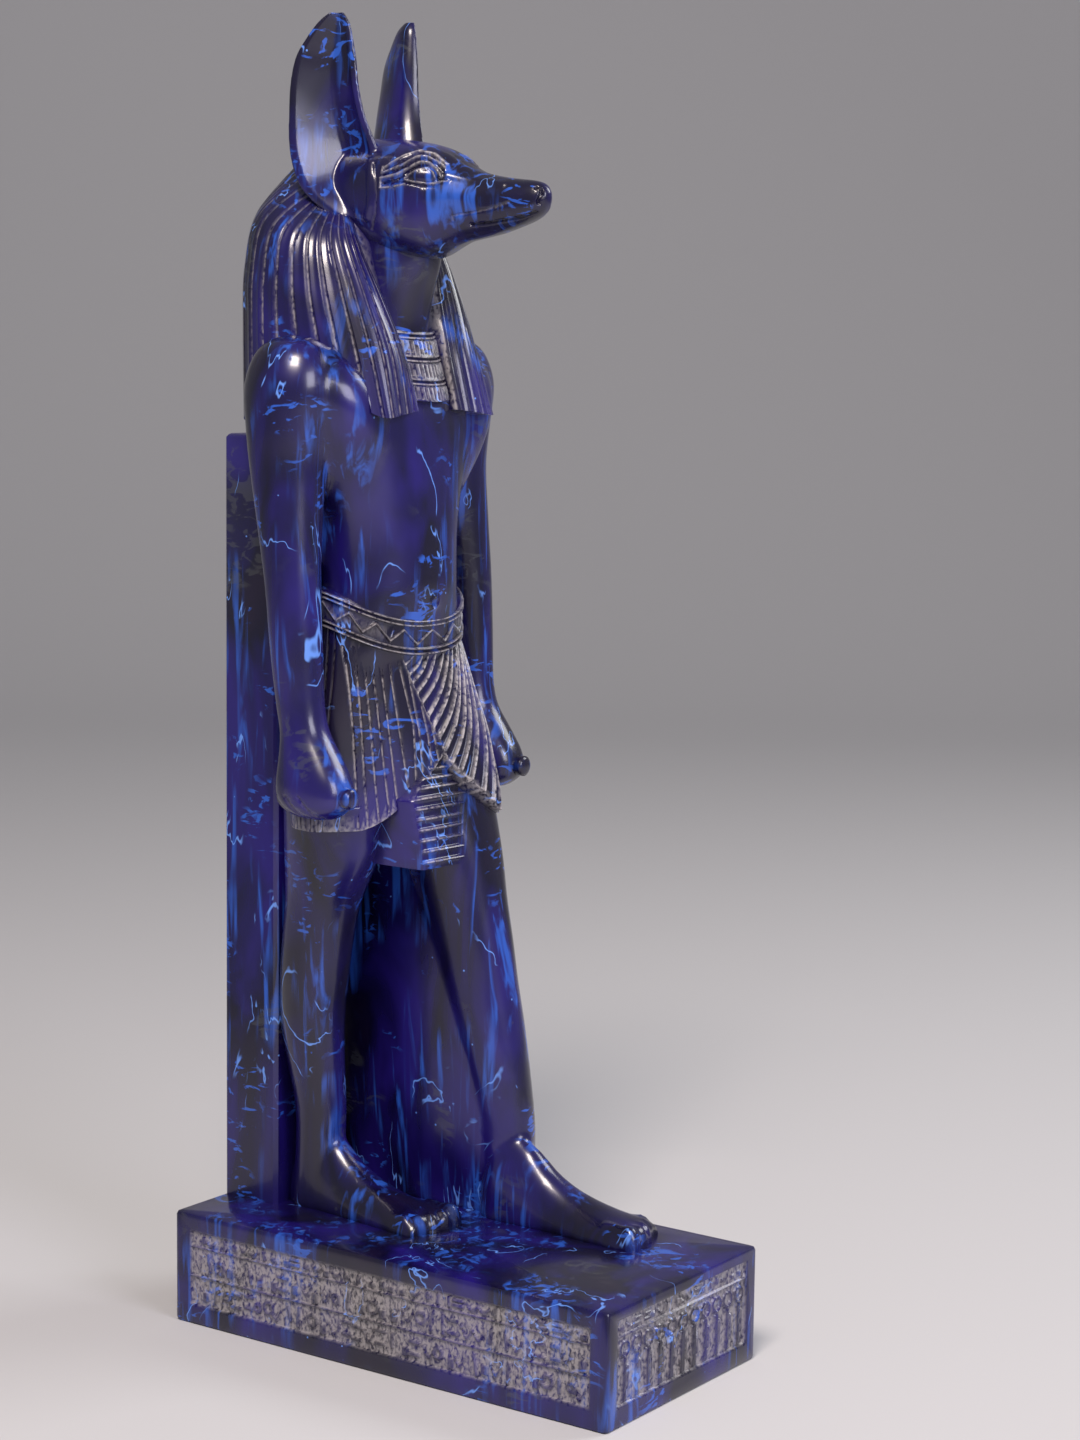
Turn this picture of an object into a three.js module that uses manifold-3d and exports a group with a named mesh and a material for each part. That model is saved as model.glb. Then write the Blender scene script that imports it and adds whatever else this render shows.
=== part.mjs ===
// Cast resin statue of a jackal-headed figure striding on a carved plinth, about 400 mm tall.
// The figure, its back pillar and the plinth are one casting, so the part is one closed solid.
// Millimetres, +Z up. The figure looks along -Y with its midline on X = 0, and stands on Z = 0.
import * as THREE from "three";
import { mergeVertices } from "three/addons/utils/BufferGeometryUtils.js";
import Module from "manifold-3d";

const wasm = await Module();
wasm.setup();

// Driving sizes
const HEIGHT = 400;
const PLINTH = { width: 80, length: 162.7, height: 35.4, shiftX: -4, bevel: 1.6 };
const PILLAR = { width: 42, front: 60, top: 275.5, bevel: 1.2 };
const SINK = 1.5; // how far a piece runs into its neighbour so that the two join

// Interpolation

// Catmull-Rom value of a list of equal-length rows at position u, in rows.
function rowAt(rows, u) {
  const i = Math.min(Math.floor(u), rows.length - 2);
  const t = u - i;
  const [a, b, c, d] = [i - 1, i, i + 1, i + 2].map((k) => rows[THREE.MathUtils.clamp(k, 0, rows.length - 1)]);
  return b.map((_, k) => {
    const slopeB = (c[k] - a[k]) / 2;
    const slopeC = (d[k] - b[k]) / 2;
    const t2 = t * t;
    const t3 = t2 * t;
    return b[k] * (2 * t3 - 3 * t2 + 1) + slopeB * (t3 - 2 * t2 + t) + c[k] * (3 * t2 - 2 * t3) + slopeC * (t3 - t2);
  });
}

// All rows of a table, with `steps` rows for each span of it.
function refine(rows, steps) {
  const count = (rows.length - 1) * steps;
  return Array.from({ length: count + 1 }, (_, i) => rowAt(rows, i / steps));
}

const signedPower = (v, p) => Math.sign(v) * Math.abs(v) ** p;

// Solids

// A closed surface through rings of equal length, with a fan at each end.
function skin(rings) {
  const columns = rings[0].length;
  const points = rings.flat();
  const faces = [];
  for (let r = 0; r + 1 < rings.length; r++) {
    for (let c = 0; c < columns; c++) {
      const a = r * columns + c;
      const b = r * columns + ((c + 1) % columns);
      faces.push([a, b, b + columns], [a, b + columns, a + columns]);
    }
  }
  const centre = (ring) => [0, 1, 2].map((k) => ring.reduce((sum, p) => sum + p[k], 0) / columns);
  const first = points.push(centre(rings[0])) - 1;
  const last = points.push(centre(rings.at(-1))) - 1;
  const lastRow = (rings.length - 1) * columns;
  for (let c = 0; c < columns; c++) {
    const next = (c + 1) % columns;
    faces.push([first, next, c], [last, lastRow + c, lastRow + next]);
  }
  return solid(points, faces);
}

// A manifold solid from points and faces, turned to face outwards.
function solid(points, faces) {
  const geometry = new THREE.BufferGeometry();
  geometry.setAttribute("position", new THREE.Float32BufferAttribute(points.flat(), 3));
  geometry.setIndex(faces.flat());
  return fromGeometry(geometry);
}

function fromGeometry(geometry) {
  const bare = geometry.clone();
  bare.deleteAttribute("normal");
  bare.deleteAttribute("uv");
  const merged = mergeVertices(bare, 1e-4);
  const vertProperties = merged.getAttribute("position").array;
  const triVerts = new Uint32Array(merged.index.array);
  const make = (tris) => new wasm.Manifold(new wasm.Mesh({ numProp: 3, vertProperties, triVerts: tris }));
  const made = make(triVerts);
  if (made.volume() > 0) return made;
  return make(triVerts.map((_, i) => triVerts[i - (i % 3) + (2 - (i % 3))]));
}

function box(width, depth, height, x, y, z) {
  return fromGeometry(new THREE.BoxGeometry(width, depth, height).translate(x, y, z));
}

// Superellipse section. `side`, `front` and `back` are half sizes; n = 2 is an ellipse.
function section(columns, { side, front, back, n }) {
  return Array.from({ length: columns }, (_, i) => {
    const angle = (2 * Math.PI * i) / columns;
    const across = side * signedPower(Math.cos(angle), 2 / n);
    const along = signedPower(Math.sin(angle), 2 / n);
    return [across, along * (along > 0 ? front : back)];
  });
}

// An upright limb. Its table has rows [z, x, y, side, front, back, squareness].
function upright(table, columns, steps) {
  return skin(
    refine(table, steps).map(([z, x, y, side, front, back, n]) =>
      section(columns, { side, front, back, n }).map(([u, v]) => [x + u, y - v, z]),
    ),
  );
}

// A limb that lies along Y. Its table has rows [y, x, z, side, up, down, squareness].
function level(table, columns, steps) {
  return skin(
    refine(table, steps).map(([y, x, z, side, up, down, n]) =>
      section(columns, { side, front: up, back: down, n }).map(([u, v]) => [x + u, y, z + v]),
    ),
  );
}

const mirrorX = (part) => part.mirror([1, 0, 0]);
const both = (part) => part.add(mirrorX(part));
const sum = (parts) => parts.reduce((all, part) => all.add(part));

// Figure

const TORSO = [
  [198, 0, 38, 28, 19, 22, 2.4],
  [212, 0, 38, 29, 21, 22, 2.4],
  [222, 0, 38, 27, 22, 22, 2.3],
  [232, 0, 38, 25, 23.4, 22, 2.2],
  [245, 0, 38, 25.5, 23, 22, 2.2],
  [257, 0, 38, 27.5, 22.5, 22, 2.3],
  [268, 0, 38, 31, 22, 22, 2.4],
  [280, 0, 38, 35, 21.8, 23, 2.5],
  [290, 0, 39, 37, 21, 24, 2.5],
  [298, 0, 40, 35, 19, 24, 2.3],
  [304, 0, 41, 28, 17, 22, 2.2],
  [309, 0, 42, 15, 14, 16, 2],
];

const NECK = [
  [296, 0, 38, 16, 18, 20, 2],
  [306, 0, 38, 14, 16.5, 20, 2],
  [318, 0, 36, 13, 16.5, 20, 2],
  [328, 0, 34, 13, 17.5, 20, 2],
  [338, 0, 34, 13, 18, 20, 2],
];

const ARM = [
  [306, 37, 39.4, 1.5, 1.5, 1.5, 2],
  [304.4, 37.4, 39.4, 6.5, 7.5, 7.5, 2],
  [300, 38.2, 39.5, 10.2, 12, 11.8, 2],
  [291, 38.8, 39.7, 12.6, 14.6, 14.2, 2],
  [279, 39.3, 39.8, 12, 13, 13.2, 2],
  [266, 39.5, 39.6, 10.8, 11.2, 11.6, 2.1],
  [248, 41.2, 37.4, 9, 9.4, 9.8, 2.1],
  [232, 42.2, 35.4, 8, 8.2, 8.6, 2.1],
  [214, 42.2, 34.2, 7.6, 8, 8, 2.1],
  [198, 42, 32.8, 7, 7.4, 7.4, 2.1],
  [190, 42, 31, 7, 7.6, 7.8, 2.1],
  [183, 42.2, 29, 7.8, 10, 9.6, 2.3],
  [175, 42.6, 27.2, 8.6, 12.6, 11.8, 2.5],
  [168.4, 42.6, 26.4, 8, 12, 12, 2.5],
  [164.4, 42.4, 26, 4, 6.6, 7, 2.2],
];

const REAR_LEG = [
  [34, -10, 51, 8, 8, 8.6, 2.2],
  [50, -10.4, 50.6, 7.6, 7.6, 8.2, 2.1],
  [66, -11, 49.8, 7.7, 7.8, 8.4, 2.1],
  [80, -12, 50.8, 8.6, 8.6, 9.4, 2.1],
  [94, -12.6, 51.8, 9.8, 9.6, 10.4, 2.1],
  [107, -13, 51, 10.4, 10.4, 11.2, 2.1],
  [121, -13.2, 49.2, 10.6, 10.6, 11.6, 2.2],
  [133, -13.4, 46.4, 11.2, 10.8, 13, 2.2],
  [146, -14, 42, 12.8, 12.4, 17, 2.2],
  [166, -15, 38, 15, 15, 20, 2.2],
];

const FRONT_LEG = [
  [34, 19, -1, 8, 7.8, 9, 2.2],
  [50, 18.8, -1.4, 7.6, 8, 9, 2.1],
  [64, 18.4, -1, 7.8, 8.6, 9, 2.1],
  [80, 18, 2.2, 8.8, 9.8, 10, 2.1],
  [94, 17.8, 5.6, 9.8, 10.8, 12, 2.1],
  [107, 17.6, 9, 10.4, 11.6, 13, 2.1],
  [120, 17.4, 12, 11, 12.2, 14, 2.2],
  [133, 17.2, 15.6, 12, 13.2, 16, 2.2],
  [148, 17, 19.6, 14, 14.4, 18, 2.2],
  [170, 16, 26, 16.4, 15.8, 20, 2.2],
];

// The rear foot; the front one is its mirror image, moved forward and across.
const FOOT = [
  [60.5, -9.4, 35, 5, 14, 1, 2],
  [55, -9.5, 35, 7.4, 25, 1, 2],
  [45, -10, 35, 8, 24.4, 1, 2],
  [36, -10.5, 35, 8.4, 16.8, 1, 2],
  [27, -11, 35, 9.2, 11.6, 1, 2.1],
  [17, -11.4, 35, 10.2, 8.4, 1, 2.2],
  [8, -11.6, 35, 11, 6.6, 1, 2.3],
  [5, -11.6, 35, 10.4, 4.8, 1, 2.3],
];
const FRONT_FOOT_STEP = [5.2, -57, 0];

// Toes as [x, tip y, radius], from the big toe outwards.
const TOES = [
  [-4.4, 0.6, 3.5],
  [-9, 0.9, 2.6],
  [-12.8, 2, 2.4],
  [-16.4, 3.8, 2.3],
  [-19.7, 6.6, 2.3],
];
const TOE = { length: 10, height: 6.6 };

function toe([x, tip, radius]) {
  const height = TOE.height * (radius / 3.5) ** 0.5;
  const row = (y, size, lift) => [y, x, 35, radius * size, 1 + height * lift, 1, 2];
  return level([row(tip, 0.5, 0.3), row(tip + 2, 1, 0.95), row(tip + TOE.length, 0.8, 0.8)], 6, 1);
}

function foot() {
  return sum([level(FOOT, 12, 1), ...TOES.map(toe)]);
}

// The stone left between the legs and behind the arms
const INFILL = [
  [34, 17.6, 32, 5.2, 32, 30, 8],
  [68, 17.4, 33, 6.8, 29, 29, 8],
  [107, 17, 34.6, 8.4, 25, 27, 8],
  [170, 16, 38, 9, 20, 24, 8],
];

const ARM_WEB = [
  [163, 32, 37, 2, 4, 3, 3],
  [169, 33, 38, 4.4, 8, 5, 3],
  [200, 33, 40, 4.6, 7, 5, 3],
  [250, 31.5, 44, 6, 6, 7, 3],
  [285, 29, 45, 7, 5, 7, 3],
];

// The mass of the shoulder and breast that fills the corner between arm and lappet
const BREAST = [
  [248, 20, 38, 5, 11, 8, 2],
  [260, 21, 37, 9.4, 15, 9, 2],
  [270, 23, 35, 12.6, 16.4, 10, 2],
  [279, 25, 33.6, 14.6, 16.6, 12, 2],
  [288, 27, 34, 15.4, 16.2, 12, 2],
  [296, 29, 36, 14, 14, 12, 2],
  [303, 30, 38, 9, 8, 9, 2],
];

// Head along Y, rows [y, x, z, side, up, down, squareness]
const HEAD = [
  [56, 0, 348, 8, 6, 10, 2],
  [50, 0, 348, 15, 12, 16, 2],
  [40, 0, 348, 15.6, 16, 20, 2.1],
  [30, 0, 347.6, 16.8, 16.4, 20, 2.2],
  [22, 0, 347, 16.6, 16.2, 19, 2.3],
  [15, 0, 346.4, 14.2, 15.4, 17.4, 2.4],
  [9, 0, 346.2, 11.4, 13, 14.8, 2.3],
  [4, 0, 346, 9.6, 10.2, 12.6, 2.2],
  [-2, 0, 345.6, 8, 8.2, 11, 2.1],
  [-9, 0, 345.2, 7, 7.2, 9.2, 2.1],
  [-16, 0, 345, 5.9, 6.6, 6.9, 2.1],
  [-20, 0, 345, 5.1, 6.2, 5.4, 2.2],
  [-23, 0, 345.8, 4, 4.6, 4.4, 2.2],
  [-24.4, 0, 346.6, 1.8, 2.2, 2.6, 2],
];

// Ear rows [z, shift, half width, cup depth, wall]. The cup opens forwards and outwards, and
// `shift` moves a row back along its width, so that the front edge is the straighter one.
const EAR = [
  [340.5, -3, 3.5, 3, 3],
  [345, -1.8, 8.8, 6.6, 4.6],
  [351, -0.4, 12, 9.6, 3.8],
  [360, 0.8, 13.2, 10.4, 3],
  [370, 2.8, 11.4, 8.8, 2.6],
  [379, 3.6, 10.2, 7.2, 2.4],
  [387, 3.2, 8.4, 5.8, 2.2],
  [393, 2, 5.8, 4.2, 2],
  [397.4, 0.8, 3.2, 2.8, 1.8],
  [HEIGHT, 0, 1, 1, 0.6],
];
const EAR_PLACE = { x: 17.9, y: 39.8, turn: THREE.MathUtils.degToRad(60), arc: 7 };

function ear() {
  const { x, y, turn, arc } = EAR_PLACE;
  const [c, s] = [Math.cos(turn), Math.sin(turn)];
  const bow = (count, from, to, width, depth, lift) =>
    Array.from({ length: count }, (_, i) => {
      const a = THREE.MathUtils.lerp(from, to, i / (count - 1));
      return [width * Math.cos(a), lift - depth * Math.sin(a)];
    });
  const step = Math.PI / (arc - 1);
  return skin(
    EAR.map(([z, shift, width, depth, wall]) => {
      const outer = bow(arc, 0, Math.PI, width, depth, 0);
      const hollow = bow(arc - 2, Math.PI - step, step, width - wall * 0.7, Math.max(depth - wall, 0.1), 0.4);
      // u runs back along the ear's width, v out of its opening
      return [...outer, ...hollow].map(([u, v]) => [x + (u + shift) * c + v * s, y + (u + shift) * s - v * c, z]);
    }),
  );
}

// Wig. Guide strands from crown to hem, rows [x, y, z], from the lappet's inner edge to the back.
const WIG_GUIDES = [
  [[14, 37, 342], [17, 30.5, 331], [13.5, 24.5, 316], [10.6, 19, 301], [9.9, 14, 284]],
  [[15, 38, 342.6], [20.5, 30, 332], [20, 23, 317], [18, 17, 301], [19, 12.6, 283]],
  [[16, 40, 343.4], [24, 34, 334], [26, 27, 319], [26.5, 20.5, 302], [27.4, 14.4, 282.4]],
  [[16.6, 43, 345], [27.5, 41, 335], [31.5, 37.5, 321], [33, 33, 306], [33, 28, 288]],
  [[17, 47, 348], [30, 51, 337], [34, 51, 323], [35.5, 50, 308], [35.5, 49, 286]],
  [[15, 54, 353], [27, 62, 341], [30.5, 64, 325], [31, 64, 308], [31, 63.5, 282]],
  [[10, 60, 358], [15.5, 70, 344], [17.5, 73.5, 327], [18, 74, 308], [18, 73.8, 279]],
  [[0, 61, 359], [0, 72.5, 345], [0, 76.5, 328], [0, 77, 308], [0, 76.6, 278]],
];
const WIG = { strands: 18, groove: 1.1, rows: 4 };

// The wig as a closed skin: strands outside, and a plain return inside the neck.
function wig() {
  const half = WIG.strands * 2;
  const guides = WIG_GUIDES.map((guide) => guide.flat());
  const columns = Array.from({ length: half + 1 }, (_, i) => rowAt(guides, (i / half) * (guides.length - 1)));
  const point = (column, t) => rowAt(Array.from({ length: 5 }, (_, k) => columns[column].slice(3 * k, 3 * k + 3)), 4 * t);
  const axis = [0, 42];
  const rings = Array.from({ length: WIG.rows + 1 }, (_, r) => {
    const t = r / WIG.rows;
    const side = columns.map((_, column) => {
      const [x, y, z] = point(column, t);
      const depth = column % 2 ? WIG.groove * (0.3 + 0.7 * t) : 0;
      const away = Math.hypot(x - axis[0], y - axis[1]);
      const scale = 1 - depth / away;
      return [axis[0] + (x - axis[0]) * scale, axis[1] + (y - axis[1]) * scale, z];
    });
    const mirrored = side.slice(0, -1).reverse().map(([x, y, z]) => [-x, y, z]);
    const z = side[0][2];
    const inside = [[-8, 30, z], [8, 30, z]];
    return [...side, ...mirrored, ...inside];
  });
  return skin(rings);
}

// Pectoral collar between the lappets: three bands of ticks parted by plain ridges
const COLLAR = { top: 307, bottom: 286.5, ticks: 5, tickDepth: 0.8, bands: 3, radius: 16, reach: 52 };

function collar() {
  const { top, bottom, ticks, tickDepth, bands, radius, reach } = COLLAR;
  const columns = ticks * 2 + 1;
  // Each band starts and ends with a plain ridge.
  const rows = Array.from({ length: bands }, (_, k) => [
    [(k + 0.04) / bands, true],
    [(k + 0.78) / bands, true],
    [(k + 0.82) / bands, false],
    [(k + 1) / bands, false],
  ]).flat();
  const rings = [[0, false], ...rows].map(([t, ticked]) => {
    const z = THREE.MathUtils.lerp(top, bottom, t);
    const front = THREE.MathUtils.lerp(20.6, 14.4, t);
    const face = Array.from({ length: columns }, (_, c) => {
      const a = THREE.MathUtils.degToRad(THREE.MathUtils.lerp(-reach, reach, c / (columns - 1)));
      const sag = 1 - Math.cos(a);
      return [radius * Math.sin(a), front + radius * sag + (ticked && c % 2 ? tickDepth : 0), z + 3 * sag];
    });
    return [...face, [11, 40, z], [-11, 40, z]];
  });
  return skin(rings);
}

// Waist line: the belt sits `rise` higher at the sides than in front. `facing` is 1 in front.
const WAIST = { x: 0, y: 39, side: 30.4, front: 22.2, back: 20, n: 2.3, rise: 10.5 };
const waistLift = (facing) => WAIST.rise * (1 - Math.max(0, facing) ** 1.6);

// Kilt rows [z, x, y, side, front, back, skew]; skew carries the striding left side forward.
const KILT = [
  [211, 0, 39, 30, 21.6, 20, 0],
  [197, 0, 38.5, 31, 24, 19.5, 0.18],
  [184, 0, 38, 32, 26, 19, 0.36],
  [170, 0, 37.5, 32.6, 27, 18.5, 0.5],
  [158, 0, 37, 33, 27, 18, 0.56],
];
const PLEATS = { from: -35, to: 205, count: 28, depth: 1, rows: 3 };
const HEM = { side: 158, apex: 181, nearSpread: 23, farSpread: 31, curve: 1.25 };

// Height of the hem over its lowest line: it rises to the apex on the midline.
function hemLift(x) {
  const spread = x < 0 ? HEM.nearSpread : HEM.farSpread;
  return (HEM.apex - HEM.side) * Math.max(0, 1 - Math.abs(x) / spread) ** HEM.curve;
}

// Half width of the opening under the hem at height z, plus the overlap behind its edge.
function hemOpening(z, spread) {
  const rise = THREE.MathUtils.clamp((z - HEM.side) / (HEM.apex - HEM.side), 0, 1);
  return spread * (1 - rise ** (1 / HEM.curve)) + SINK;
}

function kilt() {
  const pleated = Array.from({ length: PLEATS.count * 2 + 1 }, (_, i) => [
    THREE.MathUtils.lerp(PLEATS.from, PLEATS.to, i / (PLEATS.count * 2)),
    i % 2 ? PLEATS.depth : 0,
  ]);
  const plain = [225, 250, 275, 300].map((angle) => [angle, 0]);
  const columns = [...pleated, ...plain].map(([degrees, depth]) => {
    const angle = THREE.MathUtils.degToRad(degrees);
    const u = signedPower(Math.cos(angle), 2 / WAIST.n);
    const v = signedPower(Math.sin(angle), 2 / WAIST.n);
    const at = (row) => {
      const [z, x, y, side, front, back, skew] = rowAt(KILT, row);
      const px = x + (side - depth) * u;
      return [px, y - (v > 0 ? front - depth : back) * v - skew * px * Math.max(0, v), z];
    };
    const last = KILT.length - 1;
    const hem = v > 0 ? hemLift(at(last)[0]) : 0;
    const end = last * (1 - hem / (KILT[0][0] - HEM.side));
    return { at, end, v };
  });
  const rings = Array.from({ length: PLEATS.rows + 1 }, (_, r) =>
    columns.map(({ at, end, v }) => {
      const t = r / PLEATS.rows;
      const [x, y, z] = at(t * end);
      return [x, y, z + waistLift(v) * (1 - t)];
    }),
  );
  return skin(rings);
}

// Apron panel that hangs below the apex, crossed by raised bars
const APRON = { top: 183, bottom: 146, halfTop: 16, halfBottom: 11.6, frontTop: 12, frontBottom: 8.4, bars: 10, relief: 0.9 };

function apron() {
  const { top, bottom, halfTop, halfBottom, frontTop, frontBottom, bars, relief } = APRON;
  const rows = bars * 2;
  const rings = Array.from({ length: rows + 1 }, (_, r) => {
    const t = r / rows;
    const z = THREE.MathUtils.lerp(top, bottom, t);
    const half = THREE.MathUtils.lerp(halfTop, halfBottom, t);
    const near = Math.min(half, hemOpening(z, HEM.nearSpread));
    const far = Math.min(half, hemOpening(z, HEM.farSpread));
    const front = THREE.MathUtils.lerp(frontTop, frontBottom, t) + (r % 2 ? relief : 0);
    return [[far, front - 0.4, z], [far, 34, z], [-near, 34, z], [-near, front + 1.4, z]];
  });
  return skin(rings);
}

// Belt: a cord along each edge and a zigzag between them, swept round the front and the sides
const BELT = { top: 219.8, bottom: 211.2, from: -40, to: 220, cord: 1.2, teeth: 14, tooth: 2.3, line: 0.7 };

// A bar swept along the waist line at height z, `half` tall on each side, and `out` proud of it.
function waistBar(z, half, out, count, wave) {
  const rings = Array.from({ length: count + 1 }, (_, i) => {
    const angle = THREE.MathUtils.degToRad(THREE.MathUtils.lerp(BELT.from, BELT.to, i / count));
    const u = signedPower(Math.cos(angle), 2 / WAIST.n);
    const v = signedPower(Math.sin(angle), 2 / WAIST.n);
    const at = (grow, dz) => [
      WAIST.x + (WAIST.side + grow) * u,
      WAIST.y - ((v > 0 ? WAIST.front : WAIST.back) + grow) * v,
      z + waistLift(v) + dz + wave(i),
    ];
    return [at(-2, half), at(out, half * 0.4), at(out, -half * 0.4), at(-2, -half)];
  });
  return skin(rings);
}

function belt() {
  const flat = () => 0;
  const zigzag = (i) => (i % 2 ? BELT.tooth : -BELT.tooth);
  return sum([
    waistBar(BELT.top, BELT.cord, 0.9, 14, flat),
    waistBar(BELT.bottom, BELT.cord, 0.9, 14, flat),
    waistBar((BELT.top + BELT.bottom) / 2, BELT.line, 0.5, BELT.teeth * 2, zigzag),
  ]);
}

// Eyes: a lens with a raised rim, its cosmetic line and the brow above it
function ribbon(points, width, height) {
  const rings = points.map(([x, y, z], i) => {
    const size = i === 0 || i === points.length - 1 ? 0.35 : 1;
    const half = (width / 2) * size;
    return [[x - height * size, y, z], [x, y, z + half], [x + 1.6, y + 0.8, z], [x, y, z - half]];
  });
  return skin(rings);
}

const BROW = [[-17, 24, 354.4], [-15.4, 18, 357.4], [-12.6, 12.4, 358.2], [-9.6, 7, 355.2]];
const LID = [[-17.4, 25, 351], [-15.9, 18.6, 353.2], [-13, 13, 354.6], [-10, 7.2, 351]];
const LOWER_LID = [[-17.6, 24.6, 349.4], [-16, 18, 349.8], [-13.4, 12.6, 349.4], [-10, 7.2, 350.2]];

function eye() {
  const ball = fromGeometry(new THREE.SphereGeometry(1, 8, 4).scale(3.4, 4.6, 2.3).rotateZ(-0.95).translate(-11.6, 13.2, 351.8));
  return sum([ball, ribbon(BROW, 1.8, 0.9), ribbon(LID, 1.4, 0.8), ribbon(LOWER_LID, 1.3, 0.7)]);
}

// The hand's short rod, with a flat end in front
function rod() {
  const geometry = new THREE.CylinderGeometry(3.4, 3.4, 8, 10).rotateX(Math.PI / 2);
  return fromGeometry(geometry.translate(43.6, 15.6, 172));
}

// Plinth

// A plain box whose edges are cut back by `bevel`, except where a neighbour covers them.
function bevelled(width, depth, height, bevel, x, y, z0) {
  const ring = (inset, z) => {
    const [w, d] = [width / 2 - inset, depth / 2 - inset];
    const cut = bevel * 0.8;
    return [
      [w, d - cut], [w - cut, d], [-w + cut, d], [-w, d - cut],
      [-w, -d + cut], [-w + cut, -d], [w - cut, -d], [w, -d + cut],
    ].map(([u, v]) => [x + u, y + v, z]);
  };
  return skin([ring(bevel, z0), ring(0, z0 + bevel), ring(0, z0 + height - bevel), ring(bevel, z0 + height)]);
}

const PANEL = { depth: 1.1, margin: 6, bottom: 6, top: 30, frontTop: 32 };

// A stroke is a low bar on a panel's floor, given along the panel, up it, and by its sizes.
const strokeOnSide = (sideX, depth) => (along, z, length, height) =>
  box(depth, length, height, PLINTH.shiftX + sideX, along, z);
const strokeOnFront = (frontY, depth) => (along, z, length, height) =>
  box(length, depth, height, PLINTH.shiftX + along, frontY, z);

// Rows of plain strokes of mixed sizes: they suggest an inscription and spell nothing.
function strokeRow(stroke, from, to, z, height, count) {
  const pitch = (to - from) / count;
  return Array.from({ length: count }, (_, i) => {
    const along = from + pitch * (i + 0.5);
    const kind = (i * 5 + Math.round(z)) % 4;
    if (kind === 0) return stroke(along, z, pitch * 0.22, height * 0.8);
    if (kind === 1) return stroke(along, z + height * 0.22, pitch * 0.62, height * 0.22);
    if (kind === 2) return stroke(along, z - height * 0.2, pitch * 0.6, height * 0.3);
    return stroke(along - pitch * 0.15, z, pitch * 0.18, height * 0.7);
  });
}

function plinth() {
  const { width, length, height, shiftX, bevel } = PLINTH;
  const body = bevelled(width, length, height, bevel, shiftX, 0, 0);
  const tall = PANEL.top - PANEL.bottom;
  const middle = (PANEL.top + PANEL.bottom) / 2;
  const recess = PANEL.depth * 2;
  const sideLength = length - 2 * PANEL.margin;
  const frontWidth = width - PANEL.margin * 1.8;
  const frontTall = PANEL.frontTop - PANEL.bottom;
  const frontMiddle = (PANEL.frontTop + PANEL.bottom) / 2;
  const cuts = sum([
    box(recess, sideLength, tall, shiftX - width / 2, 0, middle),
    box(recess, sideLength, tall, shiftX + width / 2, 0, middle),
    box(frontWidth, recess, frontTall, shiftX, -length / 2, frontMiddle),
    box(frontWidth, recess, frontTall, shiftX, length / 2, frontMiddle),
  ]);
  const half = sideLength / 2 - 1.5;
  const nearFloor = -width / 2 + PANEL.depth;
  const near = strokeOnSide(nearFloor, PANEL.depth * 1.5);
  const front = strokeOnFront(-length / 2 + PANEL.depth, PANEL.depth * 1.5);
  const bandZ = PANEL.top - 2.6;
  const rowTall = (tall - 6) / 2;
  const rulers = [near(0, PANEL.top - 5.2, half * 2 + 3, 0.8), near(0, PANEL.bottom + rowTall + 0.5, half * 2 + 3, 0.8)];
  const strokes = [
    ...strokeRow(near, -half, half, bandZ, 4, 12),
    ...strokeRow(near, -half, half, PANEL.bottom + rowTall * 1.5 + 0.9, rowTall, 14),
    ...strokeRow(near, -half, half, PANEL.bottom + rowTall * 0.5, rowTall, 12),
  ];
  const discs = 10;
  const pitch = (frontWidth - 3) / discs;
  const frieze = [front(0, PANEL.frontTop - 6, frontWidth - 1, 0.8)];
  for (let i = 0; i < discs; i++) {
    const along = (i - (discs - 1) / 2) * pitch;
    frieze.push(
      fromGeometry(
        new THREE.CylinderGeometry(2.5, 2.5, PANEL.depth * 1.5, 6)
          .translate(along + shiftX, -length / 2 + PANEL.depth, PANEL.frontTop - 10.2),
      ),
    );
    frieze.push(front(along, PANEL.bottom + 6.6, pitch * 0.28, 11));
  }
  return body.subtract(cuts).add(sum([...rulers, ...strokes, ...frieze]));
}

function pillar() {
  const depth = PLINTH.length / 2 - PILLAR.front;
  const y = PLINTH.length / 2 - depth / 2;
  const tall = PILLAR.top - PLINTH.height + SINK;
  return bevelled(PILLAR.width, depth, tall, PILLAR.bevel, 0, y, PLINTH.height - SINK);
}

const arm = upright(ARM, 12, 1);
const nearFoot = foot();
const figure = sum([
  upright(TORSO, 18, 1),
  upright(NECK, 12, 1),
  both(sum([arm, rod(), upright(ARM_WEB, 8, 1), upright(BREAST, 10, 1), ear()])),
  upright(REAR_LEG, 14, 1),
  upright(FRONT_LEG, 14, 1),
  nearFoot,
  mirrorX(nearFoot).translate(FRONT_FOOT_STEP),
  upright(INFILL, 8, 1),
  level(HEAD, 16, 1),
  both(eye()),
  wig(),
  collar(),
  kilt(),
  apron(),
  belt(),
]);

const cast = sum([plinth(), pillar(), figure]);

// Back to three.js: one named mesh for the one casting
const { vertProperties, triVerts } = cast.getMesh();
const geometry = new THREE.BufferGeometry();
geometry.setAttribute("position", new THREE.Float32BufferAttribute(Array.from(vertProperties), 3));
geometry.setIndex(Array.from(triVerts));
geometry.computeVertexNormals();

const resin = new THREE.MeshStandardMaterial({ name: "lapis_blue_resin", color: "#221a7a", roughness: 0.32, metalness: 0 });
const statue = new THREE.Mesh(geometry, resin);
statue.name = "anubis_statue";

const group = new THREE.Group();
group.name = "anubis";
group.add(statue);

export default group;
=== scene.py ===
"""Looks of a marbled blue resin statue: a striding jackal-headed figure on a carved plinth.

The statue is one casting, so it is one piece here too. Each part of the carving is worked out as
a closed surface in millimetres, in the frame's own axes, and all of them are joined into one skin.
"""

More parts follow.
